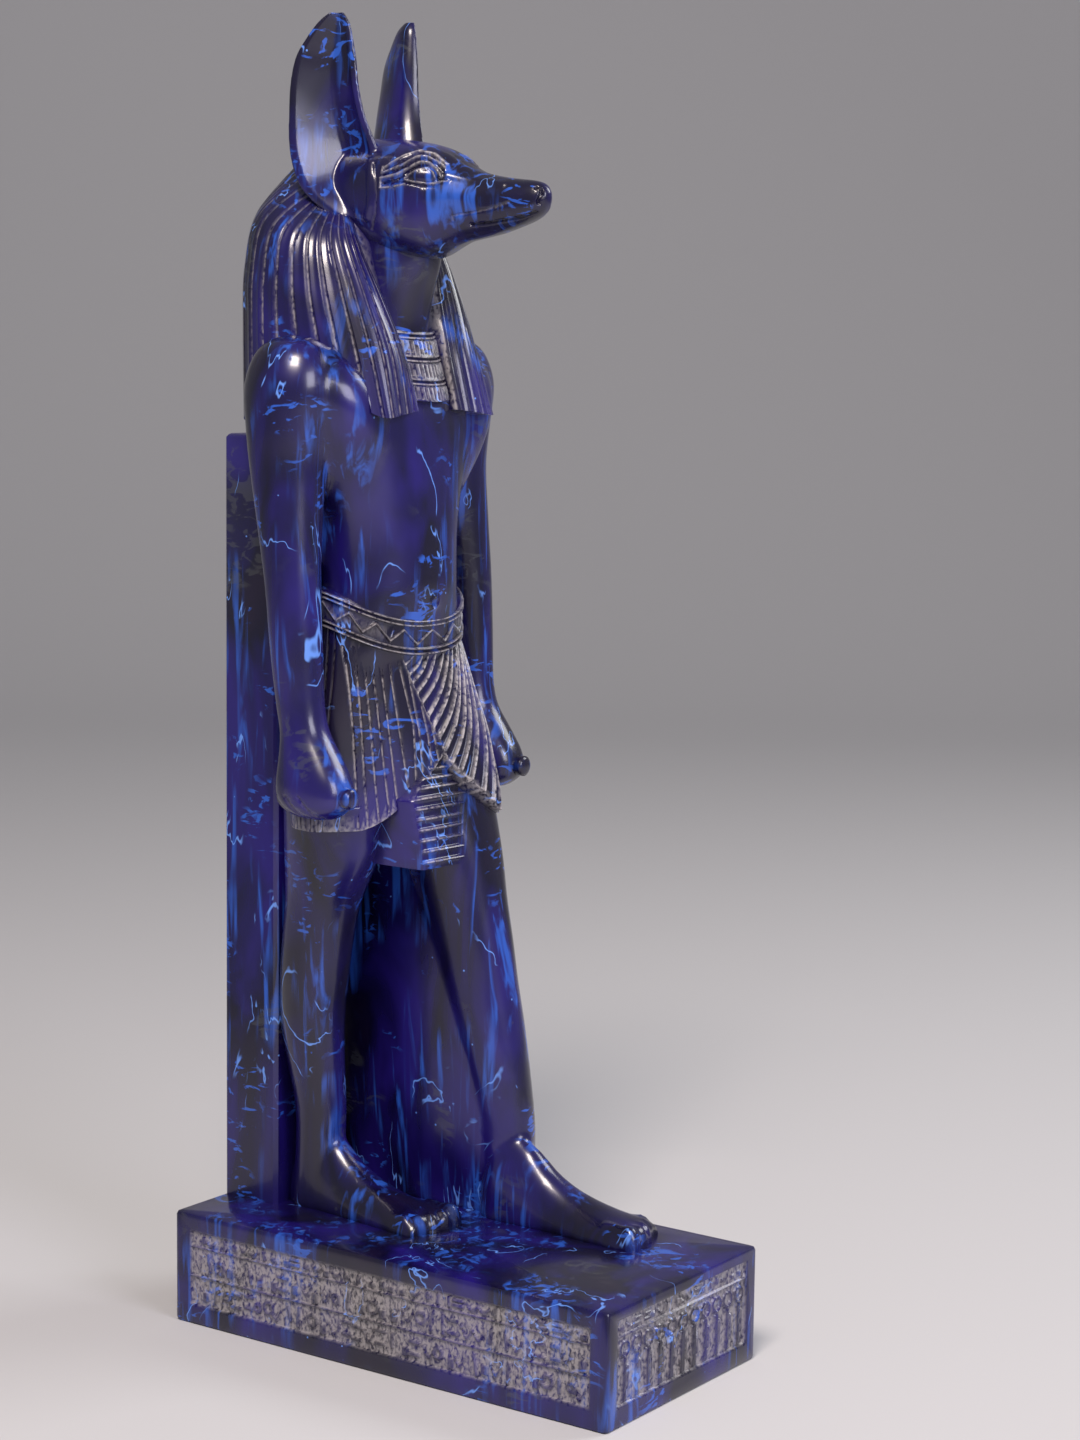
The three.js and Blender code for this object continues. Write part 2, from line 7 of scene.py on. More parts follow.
import logging
from dataclasses import dataclass, field
from enum import Enum
from typing import Callable, Sequence

import bpy
import numpy as np
from mathutils import Matrix, Vector

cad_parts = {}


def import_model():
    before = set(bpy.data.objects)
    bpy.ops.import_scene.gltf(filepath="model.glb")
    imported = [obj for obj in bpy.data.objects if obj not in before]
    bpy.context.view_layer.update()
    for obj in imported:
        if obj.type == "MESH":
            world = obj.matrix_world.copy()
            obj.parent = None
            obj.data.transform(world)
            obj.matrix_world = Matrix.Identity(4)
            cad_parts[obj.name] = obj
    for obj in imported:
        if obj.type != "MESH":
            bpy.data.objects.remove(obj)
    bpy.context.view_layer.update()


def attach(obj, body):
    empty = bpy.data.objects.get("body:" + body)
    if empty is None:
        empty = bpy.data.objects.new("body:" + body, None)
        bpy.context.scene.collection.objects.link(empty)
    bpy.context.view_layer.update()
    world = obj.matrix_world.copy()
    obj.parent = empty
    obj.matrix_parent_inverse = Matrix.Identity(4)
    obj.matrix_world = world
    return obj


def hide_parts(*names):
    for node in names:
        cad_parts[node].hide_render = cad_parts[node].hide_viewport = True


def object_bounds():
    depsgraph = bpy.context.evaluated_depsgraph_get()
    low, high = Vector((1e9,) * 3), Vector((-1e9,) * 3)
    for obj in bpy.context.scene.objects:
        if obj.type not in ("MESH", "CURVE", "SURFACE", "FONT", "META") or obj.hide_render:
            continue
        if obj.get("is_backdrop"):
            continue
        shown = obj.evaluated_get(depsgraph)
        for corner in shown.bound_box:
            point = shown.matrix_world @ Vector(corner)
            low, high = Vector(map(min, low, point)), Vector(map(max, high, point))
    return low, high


log = logging.getLogger("statue")

MM = 0.001
NODE = "anubis_statue"
Table = Sequence[Sequence[float]]


# Numbers


def smooth(low: float, high: float, value: np.ndarray) -> np.ndarray:
    """Smooth step from 0 at low to 1 at high: 3t^2 - 2t^3 of the clipped share t."""
    t = np.clip((value - low) / (high - low), 0.0, 1.0)
    return t * t * (3.0 - 2.0 * t)


def signed_power(value: np.ndarray, power: np.ndarray | float) -> np.ndarray:
    """The value's size raised to a power, with its sign kept."""
    return np.sign(value) * np.abs(value) ** power


def resample(table: Table | np.ndarray, count: int) -> np.ndarray:
    """Evenly spaced rows along a table, by Catmull-Rom between its own rows.

    Args:
        table: rows of numbers, or of points.
        count: how many rows to return.

    Returns:
        The cubic b(2t^3-3t^2+1) + m0(t^3-2t^2+t) + c(3t^2-2t^3) + m1(t^3-t^2) between rows b and c,
        whose slopes m0 and m1 are half the difference of each row's neighbours.
    """
    rows = np.asarray(table, float)
    at = np.linspace(0.0, len(rows) - 1.0, count)
    start = np.minimum(at.astype(int), len(rows) - 2)
    t = (at - start).reshape((-1,) + (1,) * (rows.ndim - 1))
    a, b, c, d = (rows[np.clip(start + k, 0, len(rows) - 1)] for k in (-1, 0, 1, 2))
    t2, t3 = t * t, t * t * t
    return (
        b * (2 * t3 - 3 * t2 + 1)
        + (c - a) / 2 * (t3 - 2 * t2 + t)
        + c * (3 * t2 - 2 * t3)
        + (d - b) / 2 * (t3 - t2)
    )


def line_distance(p: np.ndarray, q: np.ndarray, line: np.ndarray) -> tuple[np.ndarray, np.ndarray]:
    """Distance from points (p, q) to a polyline, and how far along it the nearest place is.

    Args:
        p: first coordinate of every point.
        q: second coordinate of every point.
        line: the polyline's corners, one row each.

    Returns:
        The least distance over all its segments, and the share of its length at that place.
    """
    best = np.full(np.shape(p), 1e9)
    along = np.zeros(np.shape(p))
    lengths = np.hypot(*np.diff(line, axis=0).T)
    before = np.concatenate([[0.0], np.cumsum(lengths)])
    for (ax, ay), (bx, by), length, start in zip(line[:-1], line[1:], lengths, before):
        dx, dy = (bx - ax) / length, (by - ay) / length
        t = np.clip((p - ax) * dx + (q - ay) * dy, 0.0, length)
        gap = np.hypot(p - ax - dx * t, q - ay - dy * t)
        nearer = gap < best
        best = np.where(nearer, gap, best)
        along = np.where(nearer, (start + t) / before[-1], along)
    return best, along


def groove(gap: np.ndarray, width: float) -> np.ndarray:
    """Rounded groove profile: 1 on its line, falling to 0 at half its width, as (1 - g^2)^2."""
    share = np.clip(np.abs(gap) / (width / 2), 0.0, 1.0)
    return (1.0 - share**2) ** 2


# Shells


@dataclass
class Shell:
    """A closed triangle surface in millimetres.

    `dust` is how much pale colour lies at each point, from 0 to 1: casting dust, and along the head's raised lines
    partly a painted highlight.
    """

    points: np.ndarray
    faces: np.ndarray
    dust: np.ndarray

    def outward(self) -> "Shell":
        """The same surface, turned so that its enclosed volume is positive."""
        a, b, c = (self.points[self.faces[:, k]] for k in range(3))
        volume = np.einsum("ij,ij->", a, np.cross(b, c))
        return self if volume > 0 else Shell(self.points, self.faces[:, ::-1], self.dust)

    def normals(self) -> np.ndarray:
        """Unit normals at the points: the sum of the crossed edges of each point's faces."""
        a, b, c = (self.points[self.faces[:, k]] for k in range(3))
        crossed = np.cross(b - a, c - a)
        total = np.zeros_like(self.points)
        for corner in range(3):
            for axis in range(3):
                total[:, axis] += np.bincount(self.faces[:, corner], crossed[:, axis], len(total))
        return total / (np.linalg.norm(total, axis=1, keepdims=True) + 1e-12)

    def mirrored(self) -> "Shell":
        """The mirror image across x = 0, still facing outwards."""
        return Shell(self.points * [-1.0, 1.0, 1.0], self.faces[:, ::-1], self.dust)

    def moved(self, step: Sequence[float]) -> "Shell":
        """The same surface, a step away."""
        return Shell(self.points + np.asarray(step, float), self.faces, self.dust)

    def carved(self, depth: np.ndarray, dust: np.ndarray | None = None) -> "Shell":
        """Points moved inwards along their normals by a depth, with dust added where it is given."""
        added = self.dust if dust is None else np.maximum(self.dust, dust)
        return Shell(self.points - self.normals() * depth[:, None], self.faces, added)

    def relaxed(self, rounds: int, strength: np.ndarray) -> "Shell":
        """Each point moved towards the mean of its neighbours, some rounds over.

        Args:
            rounds: how often.
            strength: the share of the way that each point goes in a round.

        Returns:
            The smoothed shell.
        """
        pairs = np.concatenate([self.faces[:, [0, 1]], self.faces[:, [1, 2]], self.faces[:, [2, 0]]])
        start, end = pairs.T
        count = np.bincount(start, minlength=len(self.points))
        points = self.points.copy()
        for _ in range(rounds):
            mean = np.stack([np.bincount(start, points[end, k], len(points)) for k in range(3)], 1)
            points += strength[:, None] * (mean / count[:, None] - points)
        return Shell(points, self.faces, self.dust)


def joined(shells: Sequence[Shell]) -> Shell:
    """Several shells as one list of points and faces."""
    starts = np.cumsum([0] + [len(s.points) for s in shells])
    return Shell(
        np.concatenate([s.points for s in shells]),
        np.concatenate([s.faces + start for s, start in zip(shells, starts)]),
        np.concatenate([s.dust for s in shells]),
    )


def skin(rings: np.ndarray, dust: np.ndarray | None = None) -> Shell:
    """Closed surface through rings of points, two triangles to a cell, with a fan at each end.

    Args:
        rings: rows of points, (rows, columns, 3); the last column joins the first.
        dust: dust at every ring point, or None for a clean surface.

    Returns:
        The closed shell, facing outwards.
    """
    rows, columns = rings.shape[:2]
    index = np.arange(rows * columns).reshape(rows, columns)
    turned = np.roll(index, -1, axis=1)
    a, b, c, d = index[:-1], turned[:-1], turned[1:], index[1:]
    walls = np.stack([np.stack([a, b, c], -1), np.stack([a, c, d], -1)]).reshape(-1, 3)
    first, last = rows * columns, rows * columns + 1
    bottom = np.stack([np.full(columns, first), turned[0], index[0]], -1)
    top = np.stack([np.full(columns, last), index[-1], turned[-1]], -1)
    points = np.concatenate([rings.reshape(-1, 3), [rings[0].mean(0)], [rings[-1].mean(0)]])
    flat = np.zeros(rows * columns) if dust is None else dust.reshape(-1)
    return Shell(points, np.concatenate([walls, bottom, top]), np.append(flat, [0.0, 0.0])).outward()


def section(columns: int, side: np.ndarray, front: np.ndarray, back: np.ndarray, n: np.ndarray) -> np.ndarray:
    """Superellipse |u/side|^n + |v/front|^n = 1, with its own half size behind.

    Args:
        columns: points round it.
        side: half size across.
        front: half size on the positive side of v.
        back: half size on the negative side of v.
        n: squareness; 2 is an ellipse.

    Returns:
        Points (u, v) for each row of sizes, (rows, columns, 2).
    """
    angle = np.linspace(0.0, 2 * np.pi, columns, endpoint=False)[None]
    u = side * signed_power(np.cos(angle), 2 / n)
    v = signed_power(np.sin(angle), 2 / n)
    return np.stack([u, np.where(v > 0, front, back) * v], -1)


def upright(table: Table, columns: int, rows: int) -> Shell:
    """Standing limb through superellipse sections; rows [z, x, y, side, front, back, squareness]."""
    z, x, y, side, front, back, n = resample(table, rows).T[..., None]
    u, v = np.moveaxis(section(columns, side, front, back, n), -1, 0)
    return skin(np.stack([x + u, y - v, z + 0 * u], -1))


def level(table: Table, columns: int, rows: int) -> Shell:
    """Limb that lies along y through the same sections; rows [y, x, z, side, up, down, squareness]."""
    y, x, z, side, up, down, n = resample(table, rows).T[..., None]
    u, v = np.moveaxis(section(columns, side, up, down, n), -1, 0)
    return skin(np.stack([x + u, y + 0 * u, z + v], -1))


# Blender meshes


def to_object(shell: Shell, name: str, scale: float = 1.0) -> bpy.types.Object:
    """A mesh object of a shell, with its dust as a point attribute."""
    mesh = bpy.data.meshes.new(name)
    mesh.vertices.add(len(shell.points))
    mesh.vertices.foreach_set("co", (shell.points * scale).astype(np.float32).ravel())
    mesh.loops.add(shell.faces.size)
    mesh.loops.foreach_set("vertex_index", shell.faces.astype(np.int32).ravel())
    mesh.polygons.add(len(shell.faces))
    mesh.polygons.foreach_set("loop_start", np.arange(0, shell.faces.size, 3, dtype=np.int32))
    dust = mesh.attributes.new("dust", "FLOAT", "POINT")
    dust.data.foreach_set("value", shell.dust.astype(np.float32))
    mesh.update(calc_edges=True)
    mesh.validate()
    made = bpy.data.objects.new(name, mesh)
    bpy.context.scene.collection.objects.link(made)
    return made


def from_mesh(mesh: bpy.types.Mesh) -> Shell:
    """The shell of a mesh, cut into triangles."""
    mesh.calc_loop_triangles()
    points = np.empty(len(mesh.vertices) * 3, np.float32)
    mesh.vertices.foreach_get("co", points)
    faces = np.empty(len(mesh.loop_triangles) * 3, np.int32)
    mesh.loop_triangles.foreach_get("vertices", faces)
    dust = np.zeros(len(mesh.vertices), np.float32)
    if "dust" in mesh.attributes:
        mesh.attributes["dust"].data.foreach_get("value", dust)
    return Shell(points.reshape(-1, 3).astype(float), faces.reshape(-1, 3), dust.astype(float))


def modified(shell: Shell, kind: str, others: Sequence[Shell] = (), **settings: object) -> Shell:
    """A shell after one of Blender's modifiers.

    Args:
        shell: the surface it works on.
        kind: the modifier's type.
        others: further shells, for a union.
        **settings: the modifier's own settings.

    Returns:
        The modifier's result as a shell.
    """
    base = to_object(shell, "working")
    extra = [to_object(s, "working") for s in others]
    modifier = base.modifiers.new("step", kind)
    for key, value in settings.items():
        setattr(modifier, key, value)
    if extra:
        held = bpy.data.collections.new("working")
        for item in extra:
            held.objects.link(item)
        modifier.collection = held
    graph = bpy.context.evaluated_depsgraph_get()
    mesh = bpy.data.meshes.new_from_object(base.evaluated_get(graph))
    result = from_mesh(mesh)
    used = [item.data for item in [base, *extra]] + [mesh]
    for item in [base, *extra]:
        bpy.data.objects.remove(item)
    for data in used:
        bpy.data.meshes.remove(data)
    if extra:
        bpy.data.collections.remove(held)
    return result


def fused(shells: Sequence[Shell], voxel: float) -> Shell:
    """Overlapping shells run together into one even skin of cells of a given size."""
    return modified(joined(shells), "REMESH", mode="VOXEL", voxel_size=voxel, use_smooth_shade=True).outward()


def thinned(shell: Shell, faces: int) -> Shell:
    """The shell with no more than about so many faces, taken from where it is flattest."""
    return shell if len(shell.faces) <= faces else modified(shell, "DECIMATE", ratio=faces / len(shell.faces))


def united(shells: Sequence[Shell]) -> Shell:
    """One closed surface round overlapping closed shells, with nothing left inside it."""
    return modified(
        shells[0], "BOOLEAN", shells[1:], operation="UNION", operand_type="COLLECTION", solver="MANIFOLD"
    )


# Figure


@dataclass
class Body:
    """Trunk, limbs and feet, with the stone left between them, run together as in the mould.

    Sizes are tables of sections. The left side, x > 0, strides forward.
    """

    voxel: float = 0.75
    faces: int = 52000
    torso: Table = (
        (198, 0, 38, 28, 19, 22, 2.4),
        (212, 0, 38, 29, 21, 22, 2.4),
        (222, 0, 38, 27, 22, 22, 2.3),
        (232, 0, 38, 25, 23.4, 22, 2.2),
        (245, 0, 38, 25.5, 23, 22, 2.2),
        (257, 0, 38, 27.5, 22.5, 22, 2.3),
        (268, 0, 38, 31, 22, 22, 2.4),
        (280, 0, 38, 35, 21.8, 23, 2.5),
        (290, 0, 39, 37, 21, 24, 2.5),
        (298, 0, 40, 35, 19, 24, 2.3),
        (304, 0, 41, 28, 17, 22, 2.2),
        (309, 0, 42, 15, 14, 16, 2),
    )
    neck: Table = (
        (296, 0, 38, 16, 18, 20, 2),
        (306, 0, 38, 14, 16.5, 20, 2),
        (318, 0, 36, 13, 16.5, 20, 2),
        (328, 0, 34, 13, 17.5, 20, 2),
        (338, 0, 34, 13, 18, 20, 2),
    )
    arm: Table = (
        (306, 37, 39.4, 1.5, 1.5, 1.5, 2),
        (304.4, 37.4, 39.4, 6.5, 7.5, 7.5, 2),
        (300, 38.2, 39.5, 10.2, 12, 11.8, 2),
        (291, 38.8, 39.7, 12.6, 14.6, 14.2, 2),
        (279, 39.3, 39.8, 12, 13, 13.2, 2),
        (266, 39.5, 39.6, 10.8, 11.2, 11.6, 2.1),
        (248, 41.2, 37.4, 9, 9.4, 9.8, 2.1),
        (232, 42.2, 35.4, 8, 8.2, 8.6, 2.1),
        (214, 42.2, 34.2, 7.6, 8, 8, 2.1),
        (198, 42, 32.8, 7, 7.4, 7.4, 2.1),
        (190, 42, 31, 7, 7.6, 7.8, 2.1),
        (183, 42.2, 29, 7.8, 10, 9.6, 2.3),
        (175, 42.6, 27.2, 8.6, 12.6, 11.8, 2.5),
        (168.4, 42.6, 26.4, 8, 12, 12, 2.5),
        (164.4, 42.4, 26, 4, 6.6, 7, 2.2),
    )
    rear_leg: Table = (
        (34, -10, 51, 8, 8, 8.6, 2.2),
        (50, -10.4, 50.6, 7.6, 7.6, 8.2, 2.1),
        (66, -11, 49.8, 7.7, 7.8, 8.4, 2.1),
        (80, -12, 50.8, 8.6, 8.6, 9.4, 2.1),
        (94, -12.6, 51.8, 9.8, 9.6, 10.4, 2.1),
        (107, -13, 51, 10.4, 10.4, 11.2, 2.1),
        (121, -13.2, 49.2, 10.6, 10.6, 11.6, 2.2),
        (133, -13.4, 46.4, 11.2, 10.8, 13, 2.2),
        (146, -14, 42, 12.8, 12.4, 17, 2.2),
        (166, -15, 38, 15, 15, 20, 2.2),
    )
    front_leg: Table = (
        (34, 19, -1, 8, 7.8, 9, 2.2),
        (50, 18.8, -1.4, 7.6, 8, 9, 2.1),
        (64, 18.4, -1, 7.8, 8.6, 9, 2.1),
        (80, 18, 2.2, 8.8, 9.8, 10, 2.1),
        (94, 17.8, 5.6, 9.8, 10.8, 12, 2.1),
        (107, 17.6, 9, 10.4, 11.6, 13, 2.1),
        (120, 17.4, 12, 11, 12.2, 14, 2.2),
        (133, 17.2, 15.6, 12, 13.2, 16, 2.2),
        (148, 17, 19.6, 14, 14.4, 18, 2.2),
        (170, 16, 26, 16.4, 15.8, 20, 2.2),
    )
    foot: Table = (
        (60.5, -9.4, 35, 5, 14, 1, 2),
        (55, -9.5, 35, 7.4, 25, 1, 2),
        (45, -10, 35, 8, 24.4, 1, 2),
        (36, -10.5, 35, 8.4, 16.8, 1, 2),
        (27, -11, 35, 9.2, 11.6, 1, 2.1),
        (17, -11.4, 35, 10.2, 8.4, 1, 2.2),
        (8, -11.6, 35, 11, 6.6, 1, 2.3),
        (5, -11.6, 35, 10.4, 4.8, 1, 2.3),
    )
    front_foot_step: tuple[float, float, float] = (5.2, -57, 0)
    toes: Table = (
        (-4.4, 0.6, 3.5),
        (-9, 0.9, 2.6),
        (-12.8, 2, 2.4),
        (-16.4, 3.8, 2.3),
        (-19.7, 6.6, 2.3),
    )
    infill: Table = (
        (34, 17.6, 32, 5.2, 32, 30, 8),
        (68, 17.4, 33, 6.8, 29, 29, 8),
        (107, 17, 34.6, 8.4, 25, 27, 8),
        (170, 16, 38, 9, 20, 24, 8),
    )
    arm_web: Table = (
        (163, 32, 37, 2, 4, 3, 3),
        (169, 33, 38, 4.4, 8, 5, 3),
        (200, 33, 40, 4.6, 7, 5, 3),
        (250, 31.5, 44, 6, 6, 7, 3),
        (285, 29, 45, 7, 5, 7, 3),
    )
    breast: Table = (
        (248, 20, 38, 5, 11, 8, 2),
        (260, 21, 37, 9.4, 15, 9, 2),
        (270, 23, 35, 12.6, 16.4, 10, 2),
        (279, 25, 33.6, 14.6, 16.6, 12, 2),
        (288, 27, 34, 15.4, 16.2, 12, 2),
        (296, 29, 36, 14, 14, 12, 2),
        (303, 30, 38, 9, 8, 9, 2),
    )

    finger_gaps: Sequence["Stroke"] = ()
    navel_z: float = 226

    def __post_init__(self) -> None:
        """Sets the three gaps between the fingers, drawn in the side view's plane, (y, z)."""
        ends = (((37, 171), (31, 164.4)), ((31.5, 171.5), (26, 164.2)), ((26, 171.5), (21, 164.6)))
        self.finger_gaps = tuple(Stroke(line, 1.6, -0.6) for line in ends)

    def toe(self, x: float, tip: float, radius: float) -> Shell:
        """One toe: a low round bar that swells behind its tip and runs back into the foot."""
        height = 6.6 * (radius / 3.5) ** 0.5
        rows = [
            (tip, x, 35, radius * 0.35, 1 + height * 0.25, 1, 2),
            (tip + 1.2, x, 35, radius * 0.86, 1 + height * 0.74, 1, 2.2),
            (tip + 3.4, x, 35, radius, 1 + height, 1, 2.2),
            (tip + 7, x, 35, radius * 0.8, 1 + height * 0.92, 1, 2.2),
            (tip + 13, x * 0.94, 35, radius * 0.7, 1 + height, 1, 2),
        ]
        return level(rows, 20, 24)

    def feet(self) -> list[Shell]:
        """The rear foot, and its mirror image a stride ahead."""
        near = joined([level(self.foot, 48, 60), *(self.toe(*row) for row in self.toes)])
        return [near, near.mirrored().moved(self.front_foot_step)]

    def trunk(self) -> list[Shell]:
        """Everything above the feet, mirrored where both sides are alike."""
        pairs = [
            upright(self.arm, 48, 120),
            upright(self.arm_web, 24, 60),
            upright(self.breast, 48, 40),
        ]
        return [
            upright(self.torso, 72, 90),
            upright(self.neck, 40, 30),
            upright(self.rear_leg, 56, 90),
            upright(self.front_leg, 56, 90),
            upright(self.infill, 96, 60),
            *pairs,
            *(shell.mirrored() for shell in pairs),
        ]

    def worked(self, body: Shell) -> Shell:
        """The body with the gaps between the curled fingers cut, and the navel's ring and pit."""
        x, y, z = body.points.T
        fist = smooth(34, 36, np.abs(x)) * smooth(184, 180, z)
        depth = sum(gap.on(y, z) * -gap.height for gap in self.finger_gaps) * fist
        ring = np.hypot(x, z - self.navel_z)
        navel = (np.maximum(0, 1 - ring / 1.3) - 0.4 * groove(ring - 1.9, 1.2)) * (y < 20)
        return body.carved(depth + navel, 0.3 * np.clip(depth, 0, 1))

    def shell(self) -> Shell:
        """The whole body, fused, smoothed and carved."""
        body = fused(self.trunk() + self.feet(), self.voxel)
        _, y, z = body.points.T
        toes = (z < 46) & ((y < 14) & (body.points[:, 0] < 0) | (y < -30))
        body = body.relaxed(14, np.where(toes, 0.12, 0.5))
        return thinned(self.worked(body), self.faces)


@dataclass
class Stroke:
    """A line worked into a surface, given by its corners in the plane that it is drawn in.

    A height above 0 stands out of the surface, and below 0 is cut into it.
    """

    line: Table
    width: float
    height: float
    # Pale colour along the stroke; on the head's raised lines it is partly a painted highlight, partly casting dust.
    dust: float = 0.0

    def on(self, p: np.ndarray, q: np.ndarray) -> np.ndarray:
        """The stroke's share at points (p, q): 1 on its line, 0 beyond half its width."""
        return groove(line_distance(p, q, np.asarray(self.line, float))[0], self.width)


@dataclass
class Head:
    """Jackal's head with its tall cupped ears, and the lines round its eyes.

    The lines are drawn in the plane of its side view, (y, z), and are the same on both sides.
    """

    voxel: float = 0.32
    faces: int = 60000
    skull: Table = (
        (56, 0, 348, 8, 6, 10, 2),
        (50, 0, 348, 15, 12, 16, 2),
        (40, 0, 348, 15.6, 16, 20, 2.1),
        (30, 0, 347.6, 16.8, 16.4, 20, 2.2),
        (22, 0, 347, 16.6, 16.2, 19, 2.3),
        (15, 0, 346.4, 14.2, 15.4, 17.4, 2.4),
        (9, 0, 346.2, 11.4, 13, 14.8, 2.3),
        (4, 0, 346, 9.6, 10.2, 12.6, 2.2),
        (-2, 0, 345.6, 8, 8.2, 11, 2.1),
        (-9, 0, 345.2, 7, 7.2, 9.2, 2.1),
        (-16, 0, 345, 5.9, 6.6, 6.9, 2.1),
        (-20, 0, 345, 5.1, 6.2, 5.4, 2.2),
        (-23, 0, 345.8, 4, 4.6, 4.4, 2.2),
        (-24.8, 0, 346.6, 1.8, 2.2, 2.6, 2),
        (-25.3, 0, 346.8, 0.6, 0.8, 0.9, 2),
    )
    ear: Table = (
        (340.5, -3, 3.5, 3, 3),
        (345, -1.8, 8.8, 6.6, 4.6),
        (351, -0.4, 12, 9.6, 3.8),
        (360, 0.8, 13.2, 10.4, 3),
        (370, 2.8, 11.4, 8.8, 2.6),
        (379, 3.6, 10.2, 7.2, 2.4),
        (387, 3.2, 9, 6.2, 2.2),
        (393, 2, 6.8, 4.8, 2),
        (397.4, 0.8, 4.6, 3.6, 1.8),
        (400, 0, 2.2, 1.8, 0.6),
    )
    ear_x: float = 17.9
    ear_y: float = 39.8
    ear_turn: float = 60.0
    ear_fold: float = -0.2
    lines: Sequence[Stroke] = (
        # The raised lines carry pale colour on their crests: partly a painted highlight, partly casting dust.
        Stroke(((23.5, 354.6), (22, 355.7), (18.3, 358.2), (15.2, 359.5), (11.3, 358.4), (6.8, 355.4)), 1.1, 0.5, 0.7),
        Stroke(((23.5, 353.4), (21.5, 354), (17.4, 355.6), (14.7, 357.6), (12.9, 357.8), (9.5, 356.4), (6.8, 354.6)), 1.0, 0.4, 0.6),
        Stroke(((24, 355), (24, 353.2)), 0.9, 0.4, 0.6),
        Stroke(((24, 351.8), (18.8, 352.8), (15.8, 354.5), (13.3, 356), (11.1, 355.8), (8.6, 354), (7, 351.9)), 1.1, 0.5, 0.7),
        Stroke(((24, 351.8), (24, 348.9)), 0.9, 0.4, 0.6),
        Stroke(((16.6, 351.6), (15.4, 352.7), (13.4, 353.9), (11.1, 354.3), (9.5, 353.4), (8.3, 351.6)), 0.9, 0.4, 0.6),
        Stroke(((16.6, 351.2), (14.4, 350.7), (10.2, 350.1), (8.6, 350.1), (6.5, 350.9), (4.8, 350.9)), 0.9, 0.5, 0.7),
        Stroke(((24, 348.9), (20.2, 349.2), (16.4, 350.1)), 0.9, 0.45, 0.7),
        Stroke(((23, 354.4), (18, 356.9), (15, 358.6), (12, 358.1), (7.4, 355.2)), 0.9, -0.5),
        Stroke(((23.4, 352.6), (18.5, 354.2), (15, 356.3), (12.6, 356.9), (9, 355.3), (6.8, 353.4)), 1.1, -0.6),
        Stroke(((23.2, 350.4), (19, 351), (16.2, 353), (13.4, 354.9), (11, 355.1), (8.9, 353.7), (7.6, 351.8)), 1.2, -0.7),
        Stroke(((23.2, 350.2), (17, 350.6), (12, 349.4), (8, 349.4)), 0.9, -0.4),
        Stroke(((7.6, 351.2), (5.4, 351.1)), 0.8, -0.5),
        Stroke(((-1.5, 338.4), (-6.2, 338.7), (-11.5, 339.5), (-18, 340.4), (-22.5, 342)), 1.1, -0.8, 0.1),
        Stroke(((3.4, 339.6), (3.4, 340.8), (1.8, 341.3), (-3.5, 342), (-10.8, 343.4), (-15, 344.8)), 1.2, -0.35, 0.2),
        Stroke(((-22.6, 348.9), (-23.9, 348.3), (-24.2, 346.9), (-23.6, 345.4), (-23.6, 344.4)), 1.2, -0.9),
        Stroke(((29.6, 357), (28.4, 353), (27.8, 348), (28, 344), (29.6, 340.4)), 3.4, 0.5),
        Stroke(((27.6, 356), (26, 352), (25.4, 347), (26, 341.6), (28.6, 337)), 1.2, -0.5, 0.1),
        Stroke(((5.4, 352.6), (-3, 351.2), (-12, 350)), 3.0, 0.35),
    )

    def ear_shell(self) -> Shell:
        """The ear on the near side, whose cup opens forwards and outwards.

        Each section is an arc outside, (w cos a, -d sin a). Inside, the cup slopes down from the
        rear rim to a fold near the front rim and climbs steeply from there.
        """
        z, shift, width, depth, wall = resample(self.ear, 110).T[..., None]
        turn = np.radians(self.ear_turn)
        out = np.linspace(0.0, np.pi, 40)[None]
        back = np.cos(np.linspace(np.pi, 0.0, 44)[None][:, 1:-1])
        u = np.concatenate([width * signed_power(np.cos(out), 0.85), (width - wall * 0.7) * back], 1) + shift
        rear = (1 - back) / (1 - self.ear_fold)
        front = (1 + back) / (1 + self.ear_fold)
        sunk = np.where(back > self.ear_fold, rear, np.clip(front, 0, 1) ** 0.7)
        hollow = 0.4 - np.maximum(depth - wall, 0.1) * sunk
        v = np.concatenate([-depth * np.sin(out) ** 0.8, hollow], 1)
        x = self.ear_x + u * np.cos(turn) + v * np.sin(turn)
        y = self.ear_y + u * np.sin(turn) - v * np.cos(turn)
        return skin(np.stack([x, y, z + 0 * x], -1))

    def worked(self, head: Shell) -> Shell:
        """The head with a bulge over each eye, an eyeball, and every line raised or cut."""
        x, y, z = head.points.T
        on_side = smooth(1.2, 2.4, np.abs(x)) * smooth(-0.15, 0.1, np.abs(head.normals()[:, 0]) - 0.2)
        bulge = np.exp(-(((y - 13) / 8) ** 2) - ((z - 355.5) / 4.5) ** 2) * 1.1
        ball = np.maximum(0, 1 - ((y - 11.9) / 3.6) ** 2 - ((z - 352.2) / 1.7) ** 2) ** 0.5
        cheek = np.exp(-(((y - 4) / 7) ** 2) - ((z - 346.5) / 2.6) ** 2) * 0.7
        rise = bulge + 0.7 * ball + cheek
        dust = np.zeros(len(x))
        for stroke in self.lines:
            share = stroke.on(y, z) * on_side * (head.points[:, 1] < 36)
            rise = rise + stroke.height * share
            # Pale colour on each raised line's crest: partly a painted highlight, partly casting dust.
            dust = np.maximum(dust, stroke.dust * share**2)
        return head.carved(-rise * on_side, dust)

    def shell(self) -> Shell:
        """Head and ears, fused, smoothed and worked."""
        ear = self.ear_shell()
        head = fused([level(self.skull, 96, 200), ear, ear.mirrored()], self.voxel)
        head = head.relaxed(10, np.where(head.points[:, 2] > 366, 0.2, 0.5))
        return thinned(self.worked(head), self.faces)


